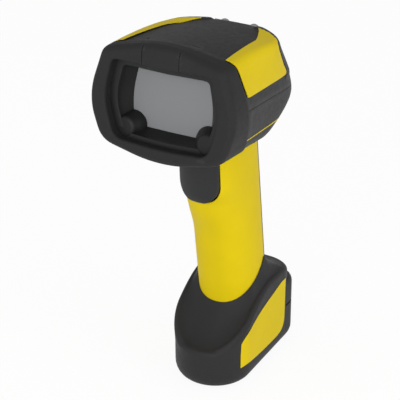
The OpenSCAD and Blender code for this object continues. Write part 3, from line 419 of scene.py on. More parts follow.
bay_back = box_form("bay_back_wall", (-18.4, bay_end - case_wall, bay_top), (18.4, bay_end, cap_top + 0.3))
join(housing, bay_roof, bay_back, box_form("socket_floor", (-15, -10, 35.6), (15, 22.2, 38)))
smooth(housing)
black_case = moulded_plastic("black_case_nylon", black_shade, 0.56, 2600, 0.00002)
fit_out(housing, black_case, "black_case", "reader", "foot_housing")

# Foot side panels
# Yellow inlays snapped into a shallow recess on each side of the foot. They are the same
# hard plastic as the handle and follow the foot's wall.

yellow_shade = (228, 201, 8)


def through(xs, ys):
    """A smooth curve through a few chosen points"""
    xs, ys = np.array(xs, float), np.array(ys, float)
    slope = np.gradient(ys, xs)

    def at(x):
        i = int(min(len(xs) - 2, max(0, np.searchsorted(xs, x) - 1)))
        h = xs[i + 1] - xs[i]
        k = min(1.0, max(0.0, (x - xs[i]) / h))
        return ((1 + 2 * k) * (1 - k) ** 2 * ys[i] + k * (1 - k) ** 2 * h * slope[i]
                + k * k * (3 - 2 * k) * ys[i + 1] + k * k * (k - 1) * h * slope[i + 1])
    return at


def foot_side_x(y, z, proud):
    """Half width of the foot's wall at a place on its side"""
    inset = curl_in * (1 - math.sqrt(max(0, 1 - ((curl_up - z) / curl_up) ** 2))) if z < curl_up else 0

    def across(wide, inset, rear, corner):
        middle = foot_x - toe
        if y < middle:
            return (wide - inset) * math.sqrt(max(0, 1 - ((middle - y) / (foot_x - inset)) ** 2))
        return side_x(y, wide - inset, rear - inset, corner)
    low = across(foot_x, inset, heel, heel_corner)
    if z <= knee_z:
        return low + proud
    k = (z - knee_z) / (ridge_z(y) - ridge_drop - knee_z)
    return mix(low, across(ridge_wide, 0, ridge_rear, ridge_corner), k) + proud


panel_under = through([-25.6, -23, -20, -17, -13, -8, 5, 12, 16.5, 19, 21, 22.2, 22.8],
                      [10.3, 10.6, 10.7, 10.45, 10, 9.6, 8.9, 8.8, 9.1, 9.9, 11.6, 14, 17])
panel_over = through([-25.6, -24.6, -19, -12, -2, 8, 20, 22.2],
                     [24.9, 26.3, 30.6, 34, 37, 39.2, 41.4, 41.3])
yellow_case = moulded_plastic("yellow_case_plastic", yellow_shade, 0.55, 2400, 0.000015,
                              gloss=0.15, edge_highlight_lift=10, drift=0.03)


def yellow_pair(kind, form, rows, heart, thick, reach):
    """A yellow skin on each side of the reader, both from the rows of the right one"""
    for side, node in ((1, "right_" + kind), (-1, "left_" + kind)):
        mirrored = [[(side * x, y, z) for x, y, z in row] for row in rows]
        skin = skin_piece(node + form, mirrored, heart, left_too=False)
        wall(skin, thick)
        smooth(round_edges(skin, reach))
        fit_out(skin, yellow_case, "yellow_case", "reader", node)


rows = []
for v in np.linspace(0, 1, 40):
    row = []
    for u in 0.5 - 0.5 * np.cos(np.linspace(0, math.pi, 56)):
        y = mix(-25.5, mix(22.7, mix(22.9, 22.3, v), ease(v * 4)), u)
        z = mix(panel_under(y), panel_over(y), v)
        row.append((foot_side_x(y, z, 0.12), y, z))
    rows.append(row)
yellow_pair("foot_panel", "_inlay", rows, lambda p: (0, p[1], p[2]), 1.1, 0.3)

# Battery
# The battery pushes in from the rear. Its black end cap closes the foot, with a grip groove
# and a captive screw, and its open tray holds two cells.

cap_seam = seam_y + 0.25
shoulder_in, shoulder_up = 4, 5.5
groove_low, groove_top, groove_depth = 22, 22.9, 0.8
lock_z = 28.4  # height of the captive screw
tray_x, tray_front, tray_low, tray_wall = 16.3, -16.6, 3.3, 1.5


def cap_plan(inset):
    return plan_back(foot_x - inset, heel - inset, heel_corner, cap_seam, 52)


def cap_lid(z, inset, shares):
    """Rows across the flat top or bottom, drawn in to the middle of the seam"""
    return [[(x * k, mix(cap_seam, y, k), z) for x, y in cap_plan(inset)] for k in shares]


rows = cap_lid(0, curl_in, (0, 0.3, 0.6, 0.85)) + curl_rows(cap_plan)
for z, inset in ((12, 0), (knee_z, 0), (groove_low - 0.3, 0), (groove_low - 0.1, 0.15),
                 (groove_low, groove_depth), (groove_top, groove_depth), (groove_top + 0.1, 0.15),
                 (groove_top + 0.3, 0), (28, 0), (cap_top - shoulder_up, 0)):
    rows.append([(x, y, z) for x, y in cap_plan(inset)])
for a in np.linspace(0, math.pi / 2, 9)[1:]:
    z = cap_top - shoulder_up * (1 - math.sin(a))
    rows.append([(x, y, z) for x, y in cap_plan(shoulder_in * (1 - math.cos(a)))])
rows += cap_lid(cap_top, shoulder_in, (0.85, 0.6, 0.3, 0))
cap = skin_piece("battery_cap", rows, lambda p: (0, 26, min(34, max(6, p[2]))))


def close_seam(bm):
    bmesh.ops.holes_fill(bm, edges=[e for e in bm.edges if e.is_boundary], sides=0)
    bmesh.ops.recalc_face_normals(bm, faces=bm.faces)


def along_y(p, y=0, z=0):
    """Lays a peg along Y"""
    return (p[0], p[2] + y, z - p[1])


rework(cap.data, close_seam)
cut(cap, peg_form("screw_well", 4.7, heel - 3, heel + 5, lambda p: along_y(p, z=lock_z), 64))
cut(cap, peg_form("screw_bore", 2.15, 10, heel + 5, lambda p: along_y(p, z=lock_z)))
round_edges(cap, 0.35)
tray = box_form("tray", (-tray_x, tray_front, tray_low), (tray_x, 26, 24.4))
room_x = tray_x - tray_wall
cut(tray, box_form("tray_room", (-room_x, tray_front + tray_wall, tray_low + tray_wall), (room_x, 23, 30)))
round_edges(tray, 0.5)
join(cap, tray)
smooth(cap)
fit_out(cap, black_case, "black_case", "battery", "battery_case")

# Handle
# The yellow handle is a hollow moulding that leans back from the head into the foot. A slot
# in its front takes the trigger, and its back is open for the soft grip.

slot_x, slot_mid = 11.4, 117.6  # half width of the trigger's slot, and the middle of its round end
handle_low = 38.6  # it stands just over the floor of its socket
grip_seam = math.degrees(math.asin((13.8 / (grip_w / 2)) ** (1 / grip_oval)))


def bend(a, c, b, reach, count):
    """Points of the curve that rounds the corner c between a and b"""
    a, c, b = np.array(a, float), np.array(c, float), np.array(b, float)
    p = mix(c, a, min(0.48, reach / np.linalg.norm(a - c)))
    q = mix(c, b, min(0.48, reach / np.linalg.norm(b - c)))
    k = np.linspace(0, 1, count + 1)[:, None]
    return (1 - k) ** 2 * p + 2 * k * (1 - k) * c + k * k * q


head_len = 94.0
head_pitch = math.radians(9)
head_y, head_z = -70.5, 170  # where the head's axis meets its face
face_lean = 0.0787  # the face leans back by this much for each mm up


def head_corners(s):
    """The head's section at a distance from its face: crown, shoulder, waist, jowl and belly"""
    def round_end(v, p, q):
        return max(0.0, 1 - min(1, max(0, v)) ** p) ** (1 / q)
    # Towards the rear the sides and shoulders round off and the belly rises
    side_k = max(0.06, round_end((s - head_len + 32) / 32, 4, 3.2))
    shoulder_k = max(0.06, round_end((s - head_len + 47) / 47, 2.2, 2.2))
    rise, peak = ease((s - head_len + 39) / 38), ease((s - head_len + 42) / 34)
    end = min(1, max(0, (s - head_len + 6.5) / 6.5)) ** 2
    return ((0, 33.2 - 0.5 * peak - 4 * end),
            (32 * shoulder_k, 25 + 4.6 * (1 - (1 - min(1, s / 50)) ** 2) + 1.8 * peak - 4 * end),
            ((40.3 - 0.127 * s + 1.2 * ease((s - 45) / 35)) * side_k, mix(0.5, 1.5, s / head_len) - 4 * end),
            ((32.5 - 0.055 * s) * side_k, mix(-20.3, -7.5, rise)),
            (0, -mix(27.4, 13.7, rise)), side_k)


def ways_out(line):
    """For each point of a right half outline, the direction square to it"""
    before = np.vstack([[-line[1][0], line[1][1]], line[:-1]])
    after = np.vstack([line[1:], [-line[-2][0], line[-2][1]]])
    way = after - before
    way /= np.maximum(np.linalg.norm(way, axis=1), 1e-9)[:, None]
    return np.stack([way[:, 1], -way[:, 0]], axis=1)


def head_row(s, inset):
    """Right half of that section as 89 points (x, along the head, above its axis)"""
    top, a, b, c, low, k = head_corners(s)

    def run(p, q, count):
        return [mix(p, q, i / (count + 1)) for i in range(1, count + 1)]

    arch = bend((-a[0], a[1]), top, a, 26 * k, 28)[14:]
    crease = bend(top, a, b, 3.2 * k, 6)
    flank = bend(a, b, c, 13 * k, 12)
    lower = bend(b, c, low, 6.5 * k, 6)
    keel = bend(c, low, (-c[0], c[1]), 22 * k, 28)[:15]
    p = np.array([*arch, *run(arch[-1], crease[0], 5), *crease, *run(crease[-1], flank[0], 11), *flank,
                  *run(flank[-1], lower[0], 9), *lower, *run(lower[-1], keel[0], 7), *keel])
    p = p + inset * ways_out(p)
    p[0, 0] = p[-1, 0] = 0
    x, t = p[:, 0], p[:, 1]
    # The first rows lean back with the face, and the rear end slants forward going up and down
    lean = -face_lean * t * (1 - min(1, s / 25))
    shear = -ease((s - head_len + 52) / 50) * np.where(
        t > 0, 19.5 * (np.abs(t) / 31) ** 1.5, 5 * (np.abs(t) / 20) ** 1.5)
    return np.stack([x, s + lean + shear, t], axis=1)


steps = np.linspace(0, 1, 301)
step_s = head_len * (1 - (1 - steps) ** 3)
head_forms = {}


def step_at(s):
    """The step, 0 to 1, of the row at a distance from the face; rows lie closer to the rear"""
    return 1 - (1 - s / head_len) ** (1 / 3)


def step_reach(q):
    """How many mm one whole step would cover there"""
    return 3 * head_len * (1 - q) ** 2


def head_form(inset):
    """The head's whole surface at an inset: rows from its face to its rear end"""
    if inset not in head_forms:
        head_forms[inset] = np.array([head_row(s, inset) for s in step_s])
        head_forms[inset][:, :, 1] -= inset * np.clip((step_s - head_len + 8) / 8, 0, 1)[:, None] ** 2
    return head_forms[inset]


def on_head(inset, q, v):
    """Points of the head's surface at step q (0 to 1) and place v (0 to 88) round the section"""
    form = head_form(inset)
    q, v = np.clip(np.asarray(q, float), 0, 1) * 300, np.clip(np.asarray(v, float), 0, 88)
    i, j = np.minimum(q.astype(int), 299), np.minimum(v.astype(int), 87)
    a, b = (q - i)[..., None], (v - j)[..., None]
    return ((form[i, j] * (1 - b) + form[i, j + 1] * b) * (1 - a)
            + (form[i + 1, j] * (1 - b) + form[i + 1, j + 1] * b) * a)


def in_head(p):
    """From the head's own frame to the reader's"""
    x, s, t = p
    return (x, head_y + s * math.cos(head_pitch) + t * math.sin(head_pitch),
            head_z - s * math.sin(head_pitch) + t * math.cos(head_pitch))


def from_head(y, z):
    """How far a place lies behind the face, and how far above the head's axis"""
    y, z = y - head_y, z - head_z
    return (y * math.cos(head_pitch) - z * math.sin(head_pitch),
            y * math.sin(head_pitch) + z * math.cos(head_pitch))


def up_to_head(turn, inset):
    """Height at which a line up the handle's side meets the belly of the head"""
    belly = head_form(1.6)[40:290:4, 50:]
    z = 140.0
    for _ in range(7):
        x, y, _z = grip_point(z, turn, inset)
        s, t = from_head(y, z)
        row_s = [np.interp(-x, -row[:, 0], row[:, 1]) for row in belly]
        row_t = [np.interp(-x, -row[:, 0], row[:, 2]) for row in belly]
        z += (np.interp(s, row_s, row_t) - t) * math.cos(head_pitch)
    return z


def slot_turn(z):
    """Where the slot's edge lies round the handle at a height"""
    if z < slot_mid - slot_x:
        return 0.0
    half = slot_x if z > slot_mid else math.sqrt(max(0, slot_x ** 2 - (slot_mid - z) ** 2))
    return math.degrees(math.asin((half / (grip_w / 2)) ** (1 / front_oval(z))))


def grip_heart(p):
    return (0, grip_y - grip_lean * p[2], p[2])


def handle_point(z, k):
    """A point a share k of the way from the slot's edge to the rear seam"""
    return grip_point(z, mix(slot_turn(z), 180 - grip_seam, k), 0)


columns = np.linspace(0, 1, 44)
heights = list(np.linspace(handle_low, 105, 44))
heights += [slot_mid - slot_x * math.cos(a) for a in np.linspace(0, math.pi / 2, 16)]
rows = [[handle_point(z, k) for k in columns] for z in heights]
tops = [up_to_head(mix(slot_turn(135), 180 - grip_seam, k), 0) for k in columns]
for i in range(1, 15):
    rows.append([handle_point(mix(slot_mid, top, i / 14), k) for k, top in zip(columns, tops)])
handle = skin_piece("handle_moulding", rows, grip_heart)
wall(handle, 2.4)
smooth(round_edges(handle, 0.4, 3))
fit_out(handle, yellow_case, "yellow_case", "reader", "handle_shell")

# Rear grip
# A soft black strap up the back of the handle, moulded in rubber and held by two screws
# in deep wells. A thin tongue along each edge laps behind the handle's wall.

strap_out = -0.3  # it stands proud of the handle by this much
sunk = 3  # and runs on so far below the foot's lip


def down_to_rim(turn):
    low = rim_z(grip_point(55, turn, strap_out)[1]) - sunk
    for _ in range(4):
        low = rim_z(grip_point(low + sunk, turn, strap_out)[1]) - sunk
    return low


turns = [180 - turn for turn in np.linspace(grip_seam - 0.7, 0, 40)]
ends = [(down_to_rim(turn), up_to_head(turn, strap_out)) for turn in turns]
rows = [[grip_point(mix(low, top, k), turn, strap_out) for turn, (low, top) in zip(turns, ends)]
        for k in np.linspace(0, 1, 60)]
strap = skin_piece("rear_grip_strap", rows, grip_heart)
wall(strap, 2.7)
tongue_in, tongue_low = 2.45, 44
turns = [180 - grip_seam + turn for turn in np.linspace(-7, 9, 9)]
tops = [up_to_head(turn, tongue_in) for turn in turns]
rows = [[grip_point(mix(tongue_low, top, k), turn, tongue_in) for turn, top in zip(turns, tops)]
        for k in np.linspace(0, 1, 40)]
tongue = skin_piece("tongue", rows, grip_heart)
wall(tongue, 0.8)
screw_heights = (76, 122)
for z in screw_heights:
    y = grip_y - grip_lean * z + grip_d / 2
    cut(strap, peg_form("well", 2.6, -2.2, 6, lambda p, y=y, z=z: along_y(p, y=y, z=z)))
smooth(join(round_edges(strap, 0.35), tongue))
soft_rubber = moulded_plastic("soft_black_rubber", (42, 42, 43), 0.68, 3200, 0.00002, gloss=0.15, edge_highlight_lift=10)
fit_out(strap, soft_rubber, "black_rubber", "reader", "rear_grip")

# Trigger
# A deep rounded paddle in black plastic that turns on a steel pin under the head. Two arms
# reach back to the pin and a boss between them presses the switch.

face_y, half_w = -37.8, 11
bow_r, roll_share, roll_deep = 20, 0.14, 0.9  # how the face bows and how its edges roll back
side_deep = 14.6
low_mid, trigger_top = 118.5, 136.2  # the round end's middle and the flat top
pin_y, pin_z = -23.5, 133
arm_in, arm_out, eye_r = 6.4, 10.8, 3.2  # the arms beside the switch, and the eyes on the pin
trigger_profile = through([107.5, 107.9, 108.7, 110.5, 114, 118, 124, 130, trigger_top],
                          [3.9, 2.7, 1.8, 1.1, 0.55, 0.2, -0.1, -0.1, 0.0])
rows = []
levels = [(low_mid - half_w * math.sin(a), half_w * math.cos(a)) for a in np.linspace(math.pi / 2, 0, 26)]
levels += [(z, half_w) for z in np.linspace(low_mid, trigger_top, 14)[1:]]
for z, half in levels:
    row = []
    for u in np.linspace(0, 1, 26):
        x = half * math.sin(u * math.pi / 2)
        bow = bow_r - math.sqrt(bow_r ** 2 - x ** 2)
        edge = max(0, (x / half - (1 - roll_share)) / roll_share) if half > 0 else u
        roll = roll_deep * (1 - math.sqrt(max(0, 1 - edge ** 2)))
        row.append((x, face_y + trigger_profile(z) + bow + roll * half / half_w, z))
    last = row[-1]
    row += [(last[0], mix(last[1], face_y + side_deep, k), z) for k in (0.15, 0.4, 0.7, 1)]
    rows.append(row)
roof = rows[-1]
rows += [[(x * k, mix(face_y + 12, y, k), z) for x, y, z in roof] for k in (0.9, 0.5, 0)]
paddle = skin_piece("trigger_paddle", rows, lambda p: (0, face_y + 10, max(112, p[2])))
wall(paddle, 1.6)
round_edges(paddle, 0.3)
for side in (-1, 1):
    x0, x1 = sorted((side * arm_in, side * arm_out))
    arm = box_form("arm", (x0, face_y + 4, pin_z - eye_r), (x1, pin_y, pin_z + 2.8))
    eye = peg_form("eye", eye_r, x0, x1, lambda p: (p[2], p[1] + pin_y, pin_z - p[0]))
    join(paddle, arm, eye)
join(paddle, box_form("boss", (-3, face_y + 1, 116), (3, face_y + 14.4, 121)))
smooth(paddle)
trigger_black = moulded_plastic("trigger_black", (42, 42, 43), 0.5, 2600, 0.00002, gloss=0.25, edge_highlight_lift=12)
fit_out(paddle, trigger_black, "black_case", "trigger", "trigger")

# Lower head shell
# Black case half under the head. Four screws in deep wells close it to the top cover, and
# the handle is screwed to its floor.

seam_t, seam_half = 3.5, 0.125  # the seam's height above the axis, and half its width
bumper_s, bumper_slope = 20.2, 0.44  # the bumper's rear edge, and how it slants forward going up
shell_in = 0.8  # how far the black lies under the yellow


def seam_place(inset, t):
    """For every step, the place round the section where the surface's side crosses a height"""
    first, last = 26, 60
    return np.array([np.interp(-t, -row[first:last, 2], np.arange(first, last)) for row in head_form(inset)])


def bumper_step(inset, shift):
    """For every place round the section, the step where the bumper's slanted rear edge lies"""
    form = head_form(inset)
    lead = form[:, :, 1] + bumper_slope * form[:, :, 2]
    return np.array([np.interp(bumper_s + shift, lead[:, j], steps) for j in range(89)])


def shell_rows(seam, places, inset, count, swell=None):
    """A case half: rows from the bumper to the rear end, its edge on the seam"""
    front = bumper_step(inset, 0.25)
    # The seam's place hangs on the step and the step on the place, so a few rounds settle both
    q = np.tile(np.linspace(0.1, 1, count)[:, None], (1, len(places(40.0))))
    for _ in range(8):
        edge = np.interp(q, steps, seam)
        v = np.array([[places(edge[r, c])[c] for c in range(q.shape[1])] for r in range(q.shape[0])])
        q = mix(np.interp(v, np.arange(89), front), 1, np.linspace(0, 1, count)[:, None])
    p = on_head(inset, q, v)
    if swell:
        # Behind the line of swell, above the flank and beside the hanger, it moves out to the yellow's skin
        over = np.clip((p[..., 1] - swell(p[..., 2]) - 0.2) / 1.2, 0, 1) * np.clip((p[..., 2] - 8) / 3, 0, 1)
        over = over * np.clip((p[..., 0] - 12.4) / 0.8, 0, 1)
        over = (over * over * (3 - 2 * over))[..., None]
        p = p * (1 - over) + on_head(0.0, q, v) * over
    rows = [[in_head(c) for c in row] for row in p]
    rows.append([in_head((0, c[1] + 0.1, c[2])) for c in p[-1]])
    return rows


def lower_places(edge):
    """The columns of the lower half, from the seam's place down to the keel"""
    return np.concatenate([np.linspace(edge, 60, 16), np.arange(61, 67),
                           np.linspace(68, 74, 4), np.arange(75, 89)])


def head_heart(p):
    s, t = from_head(p[1], p[2])
    return in_head((0, min(max(s, 10), 74), min(22, max(-6, t))))


def head_solid(inset):
    """The head as one closed lump, to trim what must stay inside it"""
    form = on_head(inset, np.linspace(0.1, 0.82, 40)[:, None], np.arange(0, 89, 2)[None, :])
    rows = [[in_head((0, form[0][22][1], 5))] * 45, *[[in_head(c) for c in row] for row in form]]
    rows.append([in_head((0, c[1] + 0.1, c[2])) for c in form[-1]])
    return skin_piece("head_lump", rows, head_heart)


seam = seam_place(shell_in, seam_t - seam_half)
rows = shell_rows(seam, lower_places, shell_in, 60)
shell = wall(skin_piece("lower_shell_moulding", rows, head_heart), case_wall, even=False)
well_in, well_r, well_end = 8.2, 2.8, -11  # in from the side, and where the screw's head bears
wells = [(side * (head_corners(s)[2][0] - well_in), s) for s in (41, 71) for side in (-1, 1)]


def upright(name, radius, low, high, x, s):
    """A peg square to the head's axis"""
    return peg_form(name, radius, low, high, lambda p: in_head((p[0] + x, s - p[1], p[2])))


for x, s in wells:
    cut(shell, upright("well", well_r, -40, well_end, x, s))
round_edges(shell, 0.3)
lump = head_solid(1.4)
posts = []
for x, s in wells:
    posts.append(upright("post", 3.4, -30, 2.5, x, s))
    cut(posts[-1], lump, "INTERSECT", keep_tool=True)
    cut(posts[-1], upright("well", well_r, -40, well_end, x, s))
join(shell, *posts)
smooth(shell)
fit_out(shell, black_case, "black_case", "reader", "head_lower_shell")

# Accent strips
# Thin yellow bars, one on each side, moulded like the handle and pressed into a line along
# the lower side of the head.

strip_low = np.array([(26.9, -13.3), (68.5, -11.8)])  # (behind the face, above the axis), front then rear
strip_high = np.array([(28.1, -12.7), (67.1, -11.2)])
strip_in = shell_in - 0.1


def on_side(s, t):
    """The point of the head's side at a distance behind the face and a height over the axis"""
    q, v = step_at(s), 52.0
    for _ in range(8):
        section = on_head(strip_in, q, np.arange(89.0))
        v = float(np.interp(-t, -section[40:, 2], np.arange(40, 89)))
        q += (s - on_head(strip_in, q, v)[1]) / step_reach(q)
    return on_head(strip_in, q, v)


rows = [[in_head(on_side(*mix(mix(*strip_low, u), mix(*strip_high, u), k))) for u in np.linspace(0, 1, 60)]
        for k in np.linspace(0, 1, 5)]
yellow_pair("accent_strip", "_bar", rows, head_heart, 0.9, 0.12)

# Top cover
# Black upper half of the case, moulded like the lower. It carries the yellow panels and
# ends at the rear in a flat seat for the steel hanger.

def seat_frame(s, t, tilt):
    """Goes from the frame of a seat on the cover, Z out of the seat, to the reader's"""
    turn = math.radians(tilt)

    def place(p):
        x, y, z = p
        return in_head((x, s + y * math.cos(turn) + z * math.sin(turn),
                        t - y * math.sin(turn) + z * math.cos(turn)))
    return place


at_hanger, at_lens = seat_frame(71.1, 30, 55), seat_frame(88.5, 7.2, 58)


def upper_places(edge):
    """The columns of the upper half, from the crown down to the seam's place"""
    return np.concatenate([np.arange(0, 27), np.linspace(26.6, edge, 24)])


def panel_rear(t):
    """Where the yellow side panels end; behind that line the cover swells flush with them"""
    return np.interp(t, [10.2, 11.5, 12.3, 13.4, 16.5, 20.8, 25.5, 28.3, 29.4, 30.4, 31.2, 33],
                     [65.8, 66.4, 67.6, 66.7, 63.2, 59.6, 55.2, 54, 56, 59.5, 64.5, 72])


seam = seam_place(shell_in, seam_t + seam_half)
rows = shell_rows(seam, upper_places, shell_in, 110, panel_rear)
cover = wall(skin_piece("top_cover_moulding", rows, head_heart), case_wall, even=False)


plate_x, tab_r, eye_y = 13, 8, 13  # half width of the plate's room, and the eye's end of the tab


def hanger_cuts(piece):
    """Room for the plate, its tab and the round eye"""
    cut(piece, box_form("seat", (-plate_x, -8, 0), (plate_x, 10.4, 20), at_hanger))
    cut(piece, box_form("tab_way", (-tab_r, 0, 0.001), (tab_r, eye_y, 20.1), at_hanger))
    cut(piece, peg_form("eye_way", tab_r, 0.002, 20.2, lambda p: at_hanger((p[0], p[1] + eye_y, p[2])), 56))


hanger_cuts(cover)
cut(cover, peg_form("lens_seat", 2.65, -8, 8, at_lens))
hole_x, hole_s, hole_t = -16.3, 14.1, 29.4
cut(cover, peg_form("sound_hole", 0.85, -4, 4,
                    lambda p: in_head((p[0] + hole_x, p[1] + hole_s, p[2] + hole_t))))
cut(cover, box_form("latch_line", (7.9, 12.1, 29.3), (12.2, 12.45, 33), in_head))
round_edges(cover, 0.22)
seat = box_form("seat_block", (-14, -5, -6.5), (14, 11.5, 9.5), at_hanger)
tail = box_form("tab_block", (-10, 5, -2.6), (10, 23.4, 13.4), at_hanger)
for block in (seat, tail):
    cut(block, lump, "INTERSECT", keep_tool=True)
    hanger_cuts(block)
    round_edges(block, 0.25)
bpy.data.objects.remove(lump)
join(cover, seat, tail)
smooth(cover)
fit_out(cover, black_case, "black_case", "reader", "head_top_cover")

# Head side panels
# Yellow skins clipped over the shoulders of the top cover, proud of the black by their own
# thickness, each with a tongue that runs back beside the hanger.


def panel_inner(s):
    """Half width of the black crown between the panels"""
    return np.interp(s, [0, 8, 44.8, 49.8, 60.1, 67.1, 72.6, head_len],
                     [27.2, 27, 23.9, 22.2, 17.8, 13.7, 12, 12])


def panel_lower(s):
    """Height of the panels' lower edge above the axis"""
    return np.interp(s, [18, 19.6, 68.6, 70.4], [10.4, 10.2, 11.6, 12.4])


def panel_front(t):
    """Where they start, a little behind the bumper's slanted edge"""
    return np.interp(t, [10.2, 10.4, 15, 22, 30, 33], [19, 18, 15.4, 12.4, 8.3, 8])


crease_v, crease_end_v = 20, 26  # the shoulder's crease lies between these places of every row
panel_columns = 40


def panel_place(a, b, c):
    """Place round the section of a column between the edges a and b; six columns keep to the crease"""
    first, last = 10, 16
    if c <= first:
        creased = mix(a, crease_v, c / first)
    elif c <= last:
        creased = crease_v + c - first
    else:
        creased = mix(crease_end_v, b, (c - last) / (panel_columns - 1 - last))
    return np.where(a < crease_v, creased, mix(a, b, c / (panel_columns - 1)))


top_v, low_v = [], []
for row in head_form(0.0):
    top_v.append(np.interp(0, row[:40, 0] - panel_inner(row[:40, 1]), np.arange(40)))
    low_v.append(np.interp(0, panel_lower(row[24:60, 1]) - row[24:60, 2], np.arange(24, 60)))
k = np.concatenate([np.linspace(0, 0.03, 3), np.linspace(0.05, 0.95, 46), np.linspace(0.97, 1, 3)])[:, None]
q = mix(0.06, 0.35, k) * np.ones((1, panel_columns))
# A few rounds bring every point on to its line between the panel's front and rear edges
for _ in range(14):
    a, b = np.interp(q, steps, top_v), np.interp(q, steps, low_v)
    v = np.stack([panel_place(a[:, c], b[:, c], c) for c in range(panel_columns)], axis=1)
    p = on_head(0.0, q, v)
    aim = mix(panel_front(p[..., 2]), panel_rear(p[..., 2]), k)
    q = np.clip(q + 0.8 * (aim - p[..., 1]) / step_reach(q), 0, 0.75)
rows = [[in_head(c) for c in row] for row in on_head(0.0, q, v)]
yellow_pair("head_panel", "_skin", rows, head_heart, 0.8, 0.22)

# Front bumper
# One thick rubber moulding wrapped round the face. It is pulled over the case from the
# front, and two fine mould lines cross its top and bottom bars.


def frame_line(a, b, c, top, low, r):
    """Right half of a flat outline through three corners; r is how far each rounding reaches"""
    keel = bend(c, (0, low), (-c[0], c[1]), r[3], 24)
    return np.array([(0, top), *bend((0, top), a, b, r[0], 10), *bend(a, b, c, r[1], 14),
                     *bend(b, c, (0, low), r[2], 10), *keel[:13]])


opening_line = frame_line((26.0, 21), (30.8, 1.5), (24.8, -17.2), 20.3, -18.8, (3, 11, 5, 14))
hub_t = 2  # the spokes of the face start on its middle line, this far above the axis
lip_round, corner_in, corner_deep = 1.3, 3.2, 4  # roundings of the opening's lip and the outer corner
face_row = head_row(0, corner_in)


def spoke_ways(x, t):
    """The direction of each point from the hub, straight up at the first and down at the last"""
    way = np.arctan2(t - hub_t, x)
    way[0], way[-1] = math.pi / 2, -math.pi / 2
    return way


def spokes(line, grow=0.0):
    """Where the directions of the bumper's columns cross an outline, grown by so much"""
    line = line - grow * ways_out(line)
    fine = np.linspace(0, len(line) - 1, 1500)
    x, t = (np.interp(fine, range(len(line)), line[:, axis]) for axis in (0, 1))
    ways = spoke_ways(face_row[:, 0], face_row[:, 2])
    r = np.interp(-ways, -spoke_ways(x, t), np.hypot(x, t - hub_t))
    out = np.stack([r * np.cos(ways), hub_t + r * np.sin(ways)], axis=1)
    out[0, 0] = out[-1, 0] = 0
    return out


def at_depth(flat, depth):
    """A flat outline laid in the leaning plane of the face, so far behind it"""
    return [in_head((x, depth - face_lean * t, t)) for x, t in flat]


rows = [at_depth(spokes(opening_line), d) for d in (5, 3.4, 2)]
for a in np.linspace(0, math.pi / 2, 6):
    rows.append(at_depth(spokes(opening_line, lip_round * (1 - math.cos(a))), lip_round * (1 - math.sin(a))))
inner, outer = spokes(opening_line, lip_round), face_row[:, [0, 2]]
rows += [at_depth(mix(inner, outer, k), 0) for k in (0.15, 0.35, 0.6, 0.85)]
for a in np.linspace(0, math.pi / 2, 10):
    corner = head_row(corner_deep * (1 - math.cos(a)), corner_in * (1 - math.sin(a)))
    rows.append([in_head(c) for c in corner])


def rows_back(inset, front_s, shift, shares):
    """Rows of the bumper's side at an inset, so far along from its front to its slanted rear edge"""
    q_front, q_rear = step_at(front_s), bumper_step(inset, shift)
    return [[in_head(c) for c in on_head(inset, mix(q_front, q_rear, k), np.arange(89))] for k in shares]


rows += rows_back(0.0, corner_deep, -0.5, np.linspace(0.1, 1, 10))
rows += rows_back(0.13, corner_deep, -0.14, [1]) + rows_back(0.5, corner_deep, 0, [1])
rows += rows_back(3.0, 5, 0, (1, 0.6, 0.3, 0))
bumper = skin_piece("bumper_moulding", rows, lambda p: in_head((0, 20, 2)), ring=True)
line_x, line_half, notch_x = 9.7, 0.16, 12.4
for side in (-1, 1):
    left, right = side * line_x - line_half, side * line_x + line_half
    cut(bumper, box_form("line", (left, -9, 20), (right, -0.4, 36), in_head))
    cut(bumper, box_form("line", (left, -3, -30), (right, 1.5, -17), in_head))
    middle = side * notch_x
    cut(bumper, box_form("notch", (middle - 2.5, 5.6, 30.2), (middle + 2.5, 7.2, 36), in_head))
round_edges(bumper, 0.16, 1, 50)
smooth(bumper, 36)
bumper_rubber = moulded_plastic("bumper_rubber", (44, 44, 45), 0.66, 2000, 0.00003,
                                gloss=0.15, edge_highlight_lift=10, drift=0.04)
fit_out(bumper, bumper_rubber, "black_rubber", "reader", "front_bumper")

# Window bezel
# A deep black frame behind the bumper's opening. It steps in at a ledge, slopes down to the
# window and has two round bosses in its lower corners.


def window_line(grow):
    """Outline of the window that shows, grown by so much"""
    return frame_line((18.3 + grow, 17.4 + grow), (21.5 + grow, 2.5), (20.3 + grow, -12.2 - grow),
                      17 + grow, -12.5 - grow, (3, 8, 2, 6))


def bezel_heart(p):
    return in_head((p[0] * 1.6, 14, hub_t + (from_head(p[1], p[2])[1] - hub_t) * 1.6))


ledge_s, boss_s, bezel_end = 5.2, 6.2, 13.2  # behind the face: the ledge, the bosses' tops, the rear
rows = [at_depth(spokes(opening_line, 1.2), ledge_s), at_depth(spokes(opening_line, -0.2), ledge_s - 0.04)]
ledge = spokes(opening_line * [0.88, 0.865])
step_in = spokes(opening_line * [0.862, 0.85])
for a in np.linspace(0, math.pi / 2, 6):
    flat = mix(mix(ledge, step_in, 0.25), step_in, math.sin(a))
    rows.append(at_depth(flat, ledge_s + 1.0 * (1 - math.cos(a))))
glass = spokes(window_line(0))
for k in (0.12, 0.3, 0.5, 0.7, 0.86, 0.96, 1):
    rows.append(at_depth(mix(step_in, glass, k ** 1.25), mix(ledge_s + 1.0, 12.55, k)))
rows.append(at_depth(spokes(window_line(-0.1)), bezel_end))
bezel = skin_piece("bezel_frame", rows, bezel_heart)
boss_x, boss_t, boss_round = 20.2, -12, 1.7
boss_profile = [(0, boss_s), (2, boss_s)]
boss_profile += [(3.8 + boss_round * math.sin(a), boss_s + boss_round * (1 - math.cos(a)))
                 for a in np.linspace(0, math.pi / 2, 9)]
boss_profile += [(5.9, 9), (6.5, 11), (6.9, bezel_end)]
